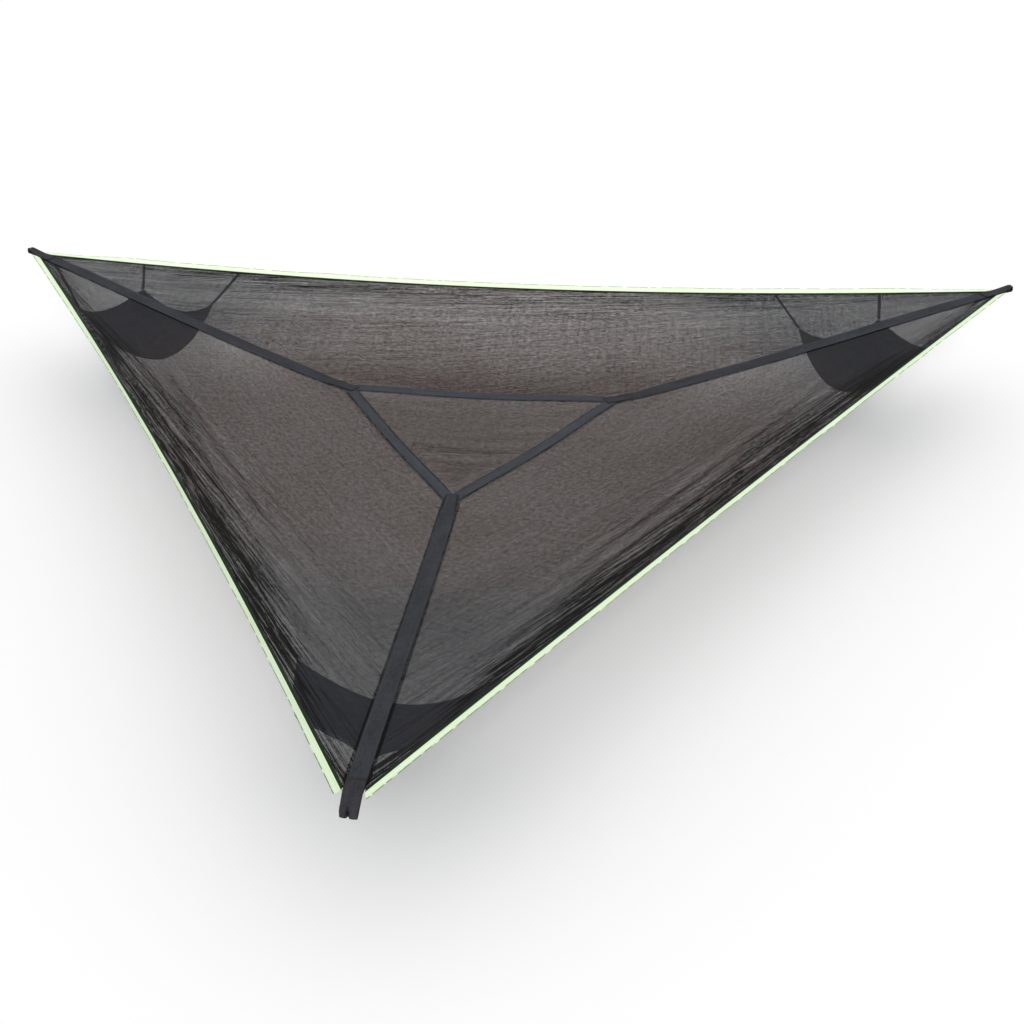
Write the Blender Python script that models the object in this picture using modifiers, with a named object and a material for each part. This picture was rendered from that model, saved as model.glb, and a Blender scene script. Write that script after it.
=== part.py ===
"""Triangle hammock: a net bed stretched between three webbing loops, with a gear sling under each corner.

Lengths are in metres and +Z is up. The origin lies midway between the net's three corners, at their
height. The bed has three alike sides and three alike corners, so a side is drawn once, at the back,
and a corner once, at the front; each copy is turned by a third of a circle about the origin.
"""
import math

import bmesh
import bpy
from mathutils import Matrix, Vector

ROOT3 = math.sqrt(3)

# The outline of the net
SIDE_LENGTH = 3.86           # straight line between two corners
EDGE_BOW = 0.050             # how far an edge curves inwards at its middle
EDGE_SAG = 0.046             # how far an edge hangs below the corners at its middle
EDGE_TURN_UP = 0.24          # how much steeper the tape outside the edge stands than the net inside

# The centre triangle
CENTRE_APOTHEM = 0.275       # centre of the bed to the middle line of a centre strap
CENTRE_SAG = 0.168           # depth of the centre straps' ends below the corners
CENTRE_STRAP_SAG = 0.010     # further depth at the middle of a centre strap
CENTRE_DIP = 0.018           # further depth at the middle of the centre panel

# The hang of the spokes and the side panels
SPOKE_SAG = 0.011            # how far a spoke hangs below its straight line, most near the centre
SAG_SCALE = 27 / 4           # brings the highest value of s * s * (1 - s) to 1
PANEL_SAG = 0.030            # depth of a panel's middle below its straight lines
FOLD_COUNT = 3               # tension folds along each edge
FOLD_DEPTH = 0.007
FOLD_BAND = (0.05, 0.35)     # where the folds lie, as shares of the way from the edge to the centre

# Cloth and webbing
NET_THICKNESS = 0.0012
WEBBING_THICKNESS = 0.002
SPOKE_WIDTH = 0.050
SPOKE_END_WIDTH = 0.042
SPOKE_TAPER = 0.22           # length over which a spoke strap narrows at its inner end
SPOKE_END_LAP = 0.035        # how far a spoke strap reaches past the centre straps' middle lines
CENTRE_STRAP_WIDTH = 0.040
HEM_WIDTH = 0.014
HEM_THICKNESS = 0.0008
TAPE_WIDTH = 0.025           # the part of the edge tape that shows outside the hem
TAPE_THICKNESS = 0.0012
TAPE_END_ANGLE = 15          # degrees between the tape's cut end and the side of the loop
STITCH_WIDTH = 0.0015        # the stitched rib that joins the two plies of a hem

# Fits
PLY_GAP = 0.0004             # between two plies that are sewn together
SLOT_GAP = 0.0003            # above and below what is held between the plies of a hem
SIDE_GAP = 0.0004            # between the sides of two pieces
SEAM_GAP = 0.001             # from a panel's cut edge to the seam's middle line
SEW_LAP = 0.015              # how far a panel reaches under a spoke strap
NET_TUCK = 0.006             # how far the net reaches into its hem
TAPE_TUCK = 0.005            # how far the tape reaches into its hem

# The corner loops
TAB_LENGTH = 0.050           # the part of a loop that is sewn round the corner
CORNER_CUT = 0.037           # from the corner of the net to the line where a loop flexes
EYE_LENGTH = 0.088           # from the flex line to the loop's outer end
EYE_END_WIDTH = 0.040        # width of the webbing where it is gathered at the outer end
EYE_HEIGHT = 0.018
EYE_CORNER_RADIUS = 0.005
EYE_STITCH = 0.010           # from the flex line to the start of the opening
FLEX_GAP = 0.0005

# The gear slings: a tip is given by its distance in from the corner, distance sideways and height.
# One side of a sling hangs slack and the other is drawn tighter.
SLACK_NEAR_TIP = Vector((0.421, 0.179, -0.116))
SLACK_FAR_TIP = Vector((0.723, 0.275, -0.141))
SLACK_EDGE_SAG = 0.062       # how far the side edge hangs below its two tips
TIGHT_NEAR_TIP = Vector((0.421, 0.157, -0.095))
TIGHT_FAR_TIP = Vector((0.723, 0.264, -0.134))
TIGHT_EDGE_SAG = 0.016
NEAR_EDGE_MIDDLE = Vector((0.389, 0.0, -0.160))
FAR_EDGE_MIDDLE = Vector((0.745, 0.0, -0.276))
SLING_THICKNESS = 0.0008
TIE_WIDTH = 0.012
TIE_THICKNESS = 0.001
NEAR_TIE_ALONG = 0.434       # from the corner to a slack near tip's tie, along the edge
FAR_TIE_ALONG = 0.825        # and to the far tips' ties
CORNER_TIE_TOP = (0.125, 0.018)    # a tight near tip's tie starts under the spoke strap

# How finely the cloth is divided
PANEL_COLUMNS = 24
PANEL_ROWS = 9               # between the folds and the centre straps
EDGE_STATIONS = 26
STRAP_STATIONS = 20
CENTRE_CUTS = 9
SLING_CELLS = 12
EDGE_OVERRUN = 0.02          # how far past its ends an edge band is drawn before it is cut, as a share
SHARP_ANGLE = 35             # degrees; edges that turn by more than this stay crisp
TIE_STATIONS = 4
ARC_STEPS = 5

# Sizes that follow from those above
CORNER_RADIUS = SIDE_LENGTH / ROOT3
APOTHEM = SIDE_LENGTH / (2 * ROOT3)
SPOKE_HALF = SPOKE_WIDTH / 2
STRAP_OUT = CENTRE_APOTHEM + CENTRE_STRAP_WIDTH / 2
STRAP_IN = CENTRE_APOTHEM - CENTRE_STRAP_WIDTH / 2
FLAT_RADIUS = 2 * STRAP_OUT
FLAT_APOTHEM = (FLAT_RADIUS + ROOT3 * SPOKE_HALF) / 2
LANE = 2 * SPOKE_HALF / ROOT3
SPOKE_SLOPE = CENTRE_SAG / (CORNER_RADIUS - FLAT_RADIUS)
EDGE_RADIUS = CORNER_RADIUS - ROOT3 * SPOKE_HALF
STRAP_LIFT = PLY_GAP
CROSSING_LIFT = STRAP_LIFT + WEBBING_THICKNESS + PLY_GAP
TAB_TOP = CROSSING_LIFT + WEBBING_THICKNESS
TAB_BOTTOM = -NET_THICKNESS - PLY_GAP - WEBBING_THICKNESS
TAB_HALF = (TAB_TOP - TAB_BOTTOM) / 2
FLEX_RADIUS = CORNER_RADIUS - CORNER_CUT
EYE_ROOT = WEBBING_THICKNESS + PLY_GAP / 2
TAB_END = EYE_ROOT + FLEX_GAP
BED_CUT = FLEX_RADIUS - TAB_END - WEBBING_THICKNESS - PLY_GAP

SIDES = {"back": 0, "left": 120, "right": 240}
CORNERS = {"front": (0, 1), "right": (120, -1), "left": (240, 1)}    # turn, and the tight side

# Colour, roughness and metallic value of each kind of piece
FINISHES = {
    "net_side": ((0.021, 0.021, 0.023), 0.90, 0.0),
    "net_centre": ((0.023, 0.023, 0.026), 0.90, 0.0),
    "hem": ((0.026, 0.032, 0.021), 0.80, 0.0),
    "edge_tape": ((0.700, 0.960, 0.560), 0.70, 0.0),
    "spoke_strap": ((0.038, 0.041, 0.048), 0.70, 0.0),
    "centre_strap": ((0.060, 0.065, 0.076), 0.70, 0.0),
    "loop_tab": ((0.042, 0.043, 0.047), 0.70, 0.0),
    "loop_eye": ((0.048, 0.048, 0.049), 0.70, 0.0),
    "gear_sling": ((0.034, 0.034, 0.040), 0.85, 0.0),
    "sling_tie": ((0.014, 0.014, 0.016), 0.75, 0.0),
}


def clear_scene():
    """Remove whatever the file holds, so that only the hammock is left."""
    for old in list(bpy.data.objects):
        bpy.data.objects.remove(old, do_unlink=True)


def make_finish(name):
    """A Principled material for one kind of piece."""
    colour, roughness, metallic = FINISHES[name]
    material = bpy.data.materials.new(name)
    material.use_nodes = True
    shader = material.node_tree.nodes["Principled BSDF"]
    shader.inputs["Base Color"].default_value = (*colour, 1.0)
    shader.inputs["Roughness"].default_value = roughness
    shader.inputs["Metallic"].default_value = metallic
    material.diffuse_color = (*colour, 1.0)
    return material


def spread(low, high, steps):
    """Evenly spaced values from low to high."""
    return [low + (high - low) * i / steps for i in range(steps + 1)]


# The shape of the bed. A place on a side is given by d, its distance from the bed's centre square to
# that side, and t, its distance along the side. The value u runs from -1 to 1 between the two spokes.

def edge_distance(u):
    """Distance from the centre to the net's edge, which curves inwards."""
    return APOTHEM - EDGE_BOW * (1 - u * u)


def along_side(u, d):
    """Distance along the side of the line u, which starts at the side of a spoke strap."""
    return u * ROOT3 * (d - LANE)


def spoke_height(radius):
    """Height of the net under a spoke strap; inside the centre straps' outer edges it is level."""
    share = min(1.0, (CORNER_RADIUS - radius) / (CORNER_RADIUS - FLAT_RADIUS))
    slack = SAG_SCALE * max(0.0, share) ** 2 * (1 - share)
    return -CENTRE_SAG * share - SPOKE_SAG * slack


def centre_height(d, t):
    """Height of the net at and inside the centre straps."""
    inner = max(min(d, STRAP_IN), 1e-6)
    along = max(0.0, 1 - (t / (ROOT3 * inner)) ** 2) ** 2
    reach = (inner / STRAP_IN) ** 2
    return -CENTRE_SAG - CENTRE_STRAP_SAG * along * reach - CENTRE_DIP * (1 - reach)


def fold_depth(share):
    """Depth of the tension folds, which run along an edge and die out towards the corners."""
    start, end = FOLD_BAND
    if share <= start or share >= end:
        return 0.0
    return FOLD_DEPTH * math.sin(math.pi * FOLD_COUNT * (share - start) / (end - start)) ** 2


def side_height(u, d):
    """Height of the net's top face on a side panel, and past its edge that of the tape."""
    edge = edge_distance(u)
    slack = 1 - u * u
    share = (edge - d) / (edge - FLAT_APOTHEM)
    straight = spoke_height(EDGE_RADIUS + (FLAT_RADIUS - EDGE_RADIUS) * share)
    rim_sag = CENTRE_SAG + centre_height(FLAT_APOTHEM, along_side(u, FLAT_APOTHEM))
    loose = max(0.0, (edge - HEM_WIDTH - d) / (edge - HEM_WIDTH - FLAT_APOTHEM))
    hollow = PANEL_SAG * 4 * loose * (1 - loose) * slack
    turn_up = EDGE_TURN_UP * max(0.0, d - edge)
    return (straight + rim_sag * share - EDGE_SAG * slack * (1 - share) + turn_up
            - hollow - fold_depth(share) * slack ** 2)


def side_point(u, d, lift=0.0):
    """A point over or under the net, on the back side."""
    t = along_side(u, d)
    z = side_height(u, d) if d >= FLAT_APOTHEM else centre_height(d, t)
    return Vector((t, d, z + lift))


def lap_point(end, d):
    """A point of the net where it reaches under a spoke strap; end is -1 or 1."""
    inset = SPOKE_HALF - SEW_LAP
    return Vector((end * (ROOT3 * d - 2 * inset), d, spoke_height(2 * d - ROOT3 * inset)))


# Ways to make a mesh

def finish_mesh(bm, name):
    """Turn a bmesh into a mesh with its own finish and smooth shading between its sharp edges."""
    mesh = bpy.data.meshes.new(name)
    bm.to_mesh(mesh)
    bm.free()
    mesh.materials.append(bpy.data.materials.get(name) or make_finish(name))
    mesh.shade_smooth()
    mesh.set_sharp_from_angle(angle=math.radians(SHARP_ANGLE))
    return mesh


def face_up(bm):
    """Turn a sheet's faces over if most of them look down."""
    bm.normal_update()
    if sum(face.normal.z * face.calc_area() for face in bm.faces) < 0:
        bmesh.ops.reverse_faces(bm, faces=bm.faces)


def grid_sheet(columns, rows, place):
    """An open sheet whose point (i, j) lies at place(columns[i], rows[j])."""
    bm = bmesh.new()
    bmesh.ops.create_grid(bm, x_segments=len(columns) - 1, y_segments=len(rows) - 1, size=1.0)
    for vert in bm.verts:
        i = round((vert.co.x + 1) / 2 * (len(columns) - 1))
        j = round((vert.co.y + 1) / 2 * (len(rows) - 1))
        vert.co = place(columns[i], rows[j])
    face_up(bm)
    return bm


def cut_away(bm, point, outwards, close):
    """Cut off all that lies on the outward side of a plane, and close the cut of a solid."""
    geometry = bm.verts[:] + bm.edges[:] + bm.faces[:]
    cut = bmesh.ops.bisect_plane(bm, geom=geometry, dist=1e-7, plane_co=point, plane_no=outwards,
                                 clear_outer=True)
    if close:
        rim = [item for item in cut["geom_cut"] if isinstance(item, bmesh.types.BMEdge)]
        bmesh.ops.edgeloop_fill(bm, edges=rim)


def swept_band(stations, section, place):
    """A solid band: a closed section carried along stations, point by point."""
    bm = bmesh.new()
    ring = [bm.verts.new(place(stations[0], *corner)) for corner in section]
    face = bm.faces.new(ring)
    for station in stations[1:]:
        grown = bmesh.ops.extrude_discrete_faces(bm, faces=[face])
        face = grown["faces"][0]
        for vert, corner in zip(face.verts, section):
            vert.co = place(station, *corner)
    bm.faces.new(list(reversed(ring)))
    bmesh.ops.recalc_face_normals(bm, faces=bm.faces)
    return bm


def arc(centre, radius, start, end):
    """Points of an arc in degrees, both ends included."""
    return [(centre[0] + radius * math.cos(math.radians(a)), centre[1] + radius * math.sin(math.radians(a)))
            for a in spread(start, end, ARC_STEPS)]


def flat_outline(name, outlines, width, end_width=None):
    """A band folded in its own plane: closed outlines, the second one a hole, drawn out to a width.

    With an end width the band narrows evenly from the line x = 0 to the far end of the outline.
    """
    curve = bpy.data.curves.new(name, "CURVE")
    curve.dimensions = "2D"
    curve.fill_mode = "BOTH"
    curve.extrude = width / 2
    for outline in outlines:
        spline = curve.splines.new("POLY")
        spline.points.add(len(outline) - 1)
        for point, (x, y) in zip(spline.points, outline):
            point.co = (x, y, 0.0, 1.0)
        spline.use_cyclic_u = True
    drawn = bpy.data.objects.new(name, curve)
    bm = bmesh.new()
    bm.from_mesh(bpy.data.meshes.new_from_object(drawn))
    bpy.data.objects.remove(drawn)
    bmesh.ops.remove_doubles(bm, verts=bm.verts, dist=1e-6)
    length = max(vert.co.x for vert in bm.verts)
    if end_width is not None:
        for vert in bm.verts:
            vert.co.z *= 1 - (1 - end_width / width) * max(0.0, vert.co.x) / length
    return finish_mesh(bm, name)


def add_piece(name, data, collection, matrix=None, thickness=None, side=-1):
    """Put one piece into the hammock; a sheet gets its thickness under (-1) or over (1) its surface."""
    piece = bpy.data.objects.new(name, data)
    collection.objects.link(piece)
    if matrix is not None:
        piece.matrix_world = matrix
    if thickness is not None:
        shell = piece.modifiers.new("thickness", "SOLIDIFY")
        shell.thickness = thickness
        shell.offset = side
        shell.use_quality_normals = True
    return piece


def turned(degrees):
    return Matrix.Rotation(math.radians(degrees), 4, "Z")


# The pieces of a side, drawn at the back

def side_panel_mesh():
    """The net between two spokes, an edge and a centre strap, cut off square at its two corners."""
    start, end = FOLD_BAND
    shares = spread(1.0, end, PANEL_ROWS) + spread(end, start, 2 * FOLD_COUNT)[1:]
    rows = [("from centre", CENTRE_APOTHEM + SEAM_GAP), ("from centre", STRAP_OUT)]
    rows += [("share", share) for share in shares]
    rows += [("from edge", HEM_WIDTH), ("from edge", HEM_WIDTH - NET_TUCK)]
    columns = ["left"] + spread(-1.0, 1.0, PANEL_COLUMNS) + ["right"]

    def distance(u, row):
        way, value = row
        edge = edge_distance(u)
        if way == "from centre":
            return value
        if way == "from edge":
            return edge - value
        return edge + (FLAT_APOTHEM - edge) * value

    def place(column, row):
        if column == "left":
            return lap_point(-1, distance(-1.0, row))
        if column == "right":
            return lap_point(1, distance(1.0, row))
        return side_point(column, distance(column, row))

    bm = grid_sheet(columns, rows, place)
    for sign in (-1, 1):
        outwards = Vector((sign * ROOT3 / 2, 0.5, 0.0))
        cut_away(bm, outwards * BED_CUT, outwards, close=False)
    return finish_mesh(bm, "net_side")


def edge_place(u, out, lift):
    """A point out from the net's edge, which moves straight away from the side."""
    edge = edge_distance(u)
    d = edge + out
    line = along_side(u, edge) / along_side(1, d)
    return Vector((along_side(u, edge), d, side_height(line, d) + lift))


def hem_mesh():
    """The folded binding of an edge: two plies, joined by stitching, with the net and the tape between."""
    top_in = SLOT_GAP
    top_out = SLOT_GAP + HEM_THICKNESS
    low_in = -NET_THICKNESS - SLOT_GAP
    low_out = low_in - HEM_THICKNESS
    rib_out = -TAPE_TUCK - SIDE_GAP
    rib_in = rib_out - STITCH_WIDTH
    section = [(0, top_out), (-HEM_WIDTH, top_out), (-HEM_WIDTH, top_in), (rib_in, top_in),
               (rib_in, low_in), (-HEM_WIDTH, low_in), (-HEM_WIDTH, low_out), (0, low_out),
               (0, low_in), (rib_out, low_in), (rib_out, top_in), (0, top_in)]
    reach = 1 + EDGE_OVERRUN
    bm = swept_band(spread(-reach, reach, EDGE_STATIONS), section, edge_place)
    for sign in (-1, 1):
        inwards = Vector((-sign * 0.5, ROOT3 / 2, 0.0))
        cut_away(bm, inwards * (SPOKE_HALF + SIDE_GAP), -inwards, close=True)
    bmesh.ops.recalc_face_normals(bm, faces=bm.faces)
    return finish_mesh(bm, "hem")


def tape_mesh():
    """The edge tape: a flat band held in the hem, its ends cut off beside the corner loops."""
    section = [(TAPE_WIDTH, 0), (0, 0), (-TAPE_TUCK, 0), (-TAPE_TUCK, -TAPE_THICKNESS),
               (0, -TAPE_THICKNESS), (TAPE_WIDTH, -TAPE_THICKNESS)]
    reach = 1 + EDGE_OVERRUN
    bm = swept_band(spread(-reach, reach, EDGE_STATIONS), section, edge_place)
    for sign in (-1, 1):
        outwards = Vector((sign * ROOT3 / 2, 0.5, 0.0))
        inwards = Vector((-sign * 0.5, ROOT3 / 2, 0.0))
        corner = outwards * EDGE_RADIUS + inwards * (SPOKE_HALF + SIDE_GAP)
        angle = math.radians(TAPE_END_ANGLE)
        cut_away(bm, corner, outwards * math.sin(angle) - inwards * math.cos(angle), close=True)
    bmesh.ops.recalc_face_normals(bm, faces=bm.faces)
    return finish_mesh(bm, "edge_tape")


def centre_strap_mesh():
    """One strap of the centre triangle, mitred where it meets the next one under a spoke strap."""
    def place(share, apothem):
        t = share * (ROOT3 * apothem - 2 * SIDE_GAP)
        return Vector((t, apothem, centre_height(CENTRE_APOTHEM, t) + STRAP_LIFT))

    bm = grid_sheet(spread(-1.0, 1.0, STRAP_STATIONS), [STRAP_IN, STRAP_OUT], place)
    return finish_mesh(bm, "centre_strap")


# The pieces of a corner, drawn at the front

def spoke_strap_mesh():
    """The strap from a corner loop to the centre, which climbs over the centre straps' ends."""
    inner_end = 2 * CENTRE_APOTHEM - SPOKE_END_LAP
    climb_end = FLAT_RADIUS + SPOKE_END_LAP
    climb_start = climb_end + SPOKE_END_LAP
    taper_end = inner_end + SPOKE_TAPER
    rows = [inner_end, climb_end, climb_start, taper_end]
    rows += spread(taper_end, BED_CUT, STRAP_STATIONS)[1:]

    def place(side, radius):
        grown = min(1.0, (radius - inner_end) / SPOKE_TAPER)
        half = (SPOKE_END_WIDTH + (SPOKE_WIDTH - SPOKE_END_WIDTH) * grown) / 2
        lift = CROSSING_LIFT if radius <= climb_end else STRAP_LIFT
        return Vector((side * half, -radius, spoke_height(radius) + lift))

    return finish_mesh(grid_sheet([-1, 0, 1], rows, place), "spoke_strap")


def corner_frame():
    """The flex line of the front loop: X runs out along the spoke, Y up, Z along the line."""
    tilt = math.atan(SPOKE_SLOPE)
    out = Vector((0, -math.cos(tilt), math.sin(tilt)))
    up = Vector((0, math.sin(tilt), math.cos(tilt)))
    frame = Matrix.Identity(4)
    for column, axis in enumerate((out, up, out.cross(up))):
        frame.col[column].xyz = axis
    middle = (TAB_TOP + TAB_BOTTOM) / 2
    frame.col[3].xyz = Vector((0, -FLEX_RADIUS, spoke_height(FLEX_RADIUS))) + up * middle
    return frame


def loop_tab_outline():
    """The loop's webbing folded round the cut corner of the bed, seen from the side."""
    inner = TAB_HALF - WEBBING_THICKNESS
    bend = (-TAB_END - WEBBING_THICKNESS, TAB_HALF - WEBBING_THICKNESS)
    low_bend = (bend[0], -bend[1])
    return [(-TAB_END - TAB_LENGTH, inner), (bend[0], inner), (bend[0], -inner),
            (-TAB_END - TAB_LENGTH, -inner), (-TAB_END - TAB_LENGTH, -TAB_HALF),
            *arc(low_bend, WEBBING_THICKNESS, -90, 0), *arc(bend, WEBBING_THICKNESS, 0, 90),
            (-TAB_END - TAB_LENGTH, TAB_HALF)]


def loop_eye_outlines():
    """The free part of a loop and its opening: two plies that part from the flex line to a blunt end."""
    centre_x = EYE_LENGTH - EYE_CORNER_RADIUS
    centre_y = EYE_HEIGHT / 2 - EYE_CORNER_RADIUS
    reach = math.hypot(centre_x, centre_y)
    lean = math.atan2(centre_y, centre_x) + math.asin((EYE_CORNER_RADIUS - EYE_ROOT) / reach)
    start = 90 + math.degrees(lean)
    upper, lower = (centre_x, centre_y), (centre_x, -centre_y)
    outer = (arc((0, 0), EYE_ROOT, start, 360 - start)
             + arc(lower, EYE_CORNER_RADIUS, -start, 0) + arc(upper, EYE_CORNER_RADIUS, 0, start))
    inner_radius = EYE_CORNER_RADIUS - WEBBING_THICKNESS
    slit = (EYE_ROOT - WEBBING_THICKNESS) / math.cos(lean) + EYE_STITCH * math.tan(lean)
    opening = ([(EYE_STITCH, slit), (EYE_STITCH, -slit)]
               + arc(lower, inner_radius, -start, 0) + arc(upper, inner_radius, 0, start))
    return outer, opening


def corner_point(place, side=1):
    """A place given by distance in from the front corner, distance to one side and height."""
    return Vector((side * place.y, place.x - CORNER_RADIUS, place.z))


def hanging_edge(start, middle, end, share):
    """An edge of cloth that hangs in a curve from start through middle to end."""
    bend = 2 * middle - (start + end) / 2
    return start * (1 - share) ** 2 + bend * 2 * share * (1 - share) + end * share ** 2


def sling_tips(tight_side):
    """The four tips of a sling by name, with the tight ones on the side that is given, 1 or -1."""
    tips = {}
    for hang, side, near, far in (("slack", -tight_side, SLACK_NEAR_TIP, SLACK_FAR_TIP),
                                  ("tight", tight_side, TIGHT_NEAR_TIP, TIGHT_FAR_TIP)):
        tips[hang, "near"] = corner_point(near, side)
        tips[hang, "far"] = corner_point(far, side)
    return tips


def sling_origin():
    """The middle of a sling's opening."""
    near, far = corner_point(SLACK_NEAR_TIP), corner_point(SLACK_FAR_TIP)
    return Vector((0, (near.y + far.y) / 2, (near.z + far.z) / 2))


def sling_mesh(tight_side):
    """A four-cornered cloth that hangs from its tips, each edge in its own curve."""
    tips = sling_tips(tight_side)
    near_middle, far_middle = corner_point(NEAR_EDGE_MIDDLE), corner_point(FAR_EDGE_MIDDLE)
    origin = sling_origin()

    def side_edge(hang, sag, inwards):
        near, far = tips[hang, "near"], tips[hang, "far"]
        return hanging_edge(near, (near + far) / 2 - Vector((0, 0, sag)), far, inwards)

    def place(across, inwards):
        near_edge = hanging_edge(tips["slack", "near"], near_middle, tips["tight", "near"], across)
        far_edge = hanging_edge(tips["slack", "far"], far_middle, tips["tight", "far"], across)
        slack_edge = side_edge("slack", SLACK_EDGE_SAG, inwards)
        tight_edge = side_edge("tight", TIGHT_EDGE_SAG, inwards)
        near_line = tips["slack", "near"].lerp(tips["tight", "near"], across)
        far_line = tips["slack", "far"].lerp(tips["tight", "far"], across)
        return (near_edge.lerp(far_edge, inwards) + slack_edge.lerp(tight_edge, across)
                - near_line.lerp(far_line, inwards) - origin)

    cells = spread(0.0, 1.0, SLING_CELLS)
    return finish_mesh(grid_sheet(cells, cells, place), "gear_sling")


def tie_top(hang, place, side):
    """The upper end of a tie, and the level direction that its width follows there."""
    if (hang, place) == ("tight", "near"):
        inwards, sideways = CORNER_TIE_TOP
        under = NET_THICKNESS + PLY_GAP + TIE_THICKNESS / 2
        height = spoke_height(CORNER_RADIUS - inwards) - under
        return corner_point(Vector((inwards, sideways, height)), side), Vector((1, 0, 0))
    along = NEAR_TIE_ALONG if place == "near" else FAR_TIE_ALONG
    line = side * (SIDE_LENGTH / 2 - along) / along_side(1, APOTHEM)
    under = NET_THICKNESS + SLOT_GAP + HEM_THICKNESS + PLY_GAP + TIE_THICKNESS / 2
    turn = turned(-120 * side)
    return turn @ edge_place(line, -HEM_WIDTH / 2, -under), turn @ Vector((1, 0, 0))


def tie_mesh(hang, place, side, tip):
    """A flat tie that runs straight down to a tip of the sling; side is 1 or -1."""
    top, width_way = tie_top(hang, place, side)
    foot = tip + Vector((0, 0, PLY_GAP + TIE_THICKNESS / 2))

    def point(across, down):
        return top.lerp(foot, down) + width_way * across

    bm = grid_sheet([-TIE_WIDTH / 2, TIE_WIDTH / 2], spread(0.0, 1.0, TIE_STATIONS), point)
    return finish_mesh(bm, "sling_tie")


def centre_panel_mesh():
    """The net inside the centre straps: a triangle divided evenly, then let hang."""
    bm = bmesh.new()
    radius = 2 * (CENTRE_APOTHEM - SEAM_GAP)
    corner_forward = turned(180)
    bmesh.ops.create_circle(bm, cap_ends=True, segments=3, radius=radius, matrix=corner_forward)
    bmesh.ops.subdivide_edges(bm, edges=bm.edges, cuts=CENTRE_CUTS, use_grid_fill=True)
    bmesh.ops.triangulate(bm, faces=[face for face in bm.faces if len(face.verts) > 4])
    ways = [turned(90 + angle) @ Vector((1, 0, 0)) for angle in SIDES.values()]
    for vert in bm.verts:
        d, way = max((vert.co.dot(way), index) for index, way in enumerate(ways))
        t = vert.co.dot(turned(-90) @ ways[way])
        vert.co.z = centre_height(d, t)
    face_up(bm)
    return finish_mesh(bm, "net_centre")


def build():
    clear_scene()
    hammock = bpy.data.collections.new("triangle_hammock")
    bpy.context.scene.collection.children.link(hammock)

    panel, hem, tape, centre_strap = side_panel_mesh(), hem_mesh(), tape_mesh(), centre_strap_mesh()
    for side, angle in SIDES.items():
        turn = turned(angle)
        add_piece(f"net_{side}", panel, hammock, turn, NET_THICKNESS)
        add_piece(f"hem_{side}", hem, hammock, turn)
        add_piece(f"edge_tape_{side}", tape, hammock, turn)
        add_piece(f"centre_strap_{side}", centre_strap, hammock, turn, WEBBING_THICKNESS, side=1)
    add_piece("net_centre", centre_panel_mesh(), hammock, None, NET_THICKNESS)

    spoke = spoke_strap_mesh()
    tab = flat_outline("loop_tab", [loop_tab_outline()], SPOKE_WIDTH)
    eye = flat_outline("loop_eye", loop_eye_outlines(), SPOKE_WIDTH, EYE_END_WIDTH)
    for corner, (angle, tight_side) in CORNERS.items():
        turn = turned(angle)
        add_piece(f"spoke_strap_{corner}", spoke, hammock, turn, WEBBING_THICKNESS, side=1)
        add_piece(f"loop_tab_{corner}", tab, hammock, turn @ corner_frame())
        add_piece(f"loop_eye_{corner}", eye, hammock, turn @ corner_frame())
        place = turn @ Matrix.Translation(sling_origin())
        add_piece(f"gear_sling_{corner}", sling_mesh(tight_side), hammock, place, SLING_THICKNESS)
        for (hang, end), tip in sling_tips(tight_side).items():
            side = tight_side if hang == "tight" else -tight_side
            tie = tie_mesh(hang, end, side, tip)
            add_piece(f"sling_tie_{corner}_{hang}_{end}", tie, hammock, turn, TIE_THICKNESS, side=0)


build()
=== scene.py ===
# %% [markdown]
# # A triangle hammock
# A net bed is stretched between three webbing loops. Webbing spokes carry it, a pale tape edges it,
# and a cloth sling for gear hangs under each corner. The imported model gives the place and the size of
# every part, so we load it first and never move it. What we make here only dresses it.

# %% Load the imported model
from functools import partialmethod
from math import atan, atan2, cos, degrees, exp, hypot, pi, radians, sin, sqrt

import bmesh
import bpy
from mathutils import Matrix, Vector
from mathutils.noise import noise
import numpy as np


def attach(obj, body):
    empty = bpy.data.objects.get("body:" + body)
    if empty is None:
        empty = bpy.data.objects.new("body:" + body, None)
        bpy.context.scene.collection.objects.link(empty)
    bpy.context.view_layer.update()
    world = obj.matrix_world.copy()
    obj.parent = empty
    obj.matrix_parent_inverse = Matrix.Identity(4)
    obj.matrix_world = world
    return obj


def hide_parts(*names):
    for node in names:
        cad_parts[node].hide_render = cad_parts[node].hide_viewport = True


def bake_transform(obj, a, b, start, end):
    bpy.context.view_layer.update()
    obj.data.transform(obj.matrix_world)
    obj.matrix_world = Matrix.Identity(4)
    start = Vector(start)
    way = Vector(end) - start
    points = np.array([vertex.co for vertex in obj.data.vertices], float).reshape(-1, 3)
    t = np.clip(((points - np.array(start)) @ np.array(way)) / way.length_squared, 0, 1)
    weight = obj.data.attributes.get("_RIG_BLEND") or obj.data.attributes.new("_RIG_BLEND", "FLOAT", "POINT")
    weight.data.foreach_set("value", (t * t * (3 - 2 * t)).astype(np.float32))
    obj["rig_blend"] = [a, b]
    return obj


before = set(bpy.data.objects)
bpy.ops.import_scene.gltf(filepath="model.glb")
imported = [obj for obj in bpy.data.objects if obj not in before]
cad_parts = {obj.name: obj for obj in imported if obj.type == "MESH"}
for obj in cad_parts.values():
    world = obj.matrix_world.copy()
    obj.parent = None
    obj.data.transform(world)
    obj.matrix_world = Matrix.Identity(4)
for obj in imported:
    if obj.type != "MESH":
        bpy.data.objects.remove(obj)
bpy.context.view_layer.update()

# %% [markdown]
# ## Camera
# The place and the lens of the camera were worked out from the three corners, the three edges and the
# centre triangle in the photograph. A camera looks along its own -Z, so the matrix below holds its
# right, up and backward directions. The small shift stands for the way the picture was cropped.

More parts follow.
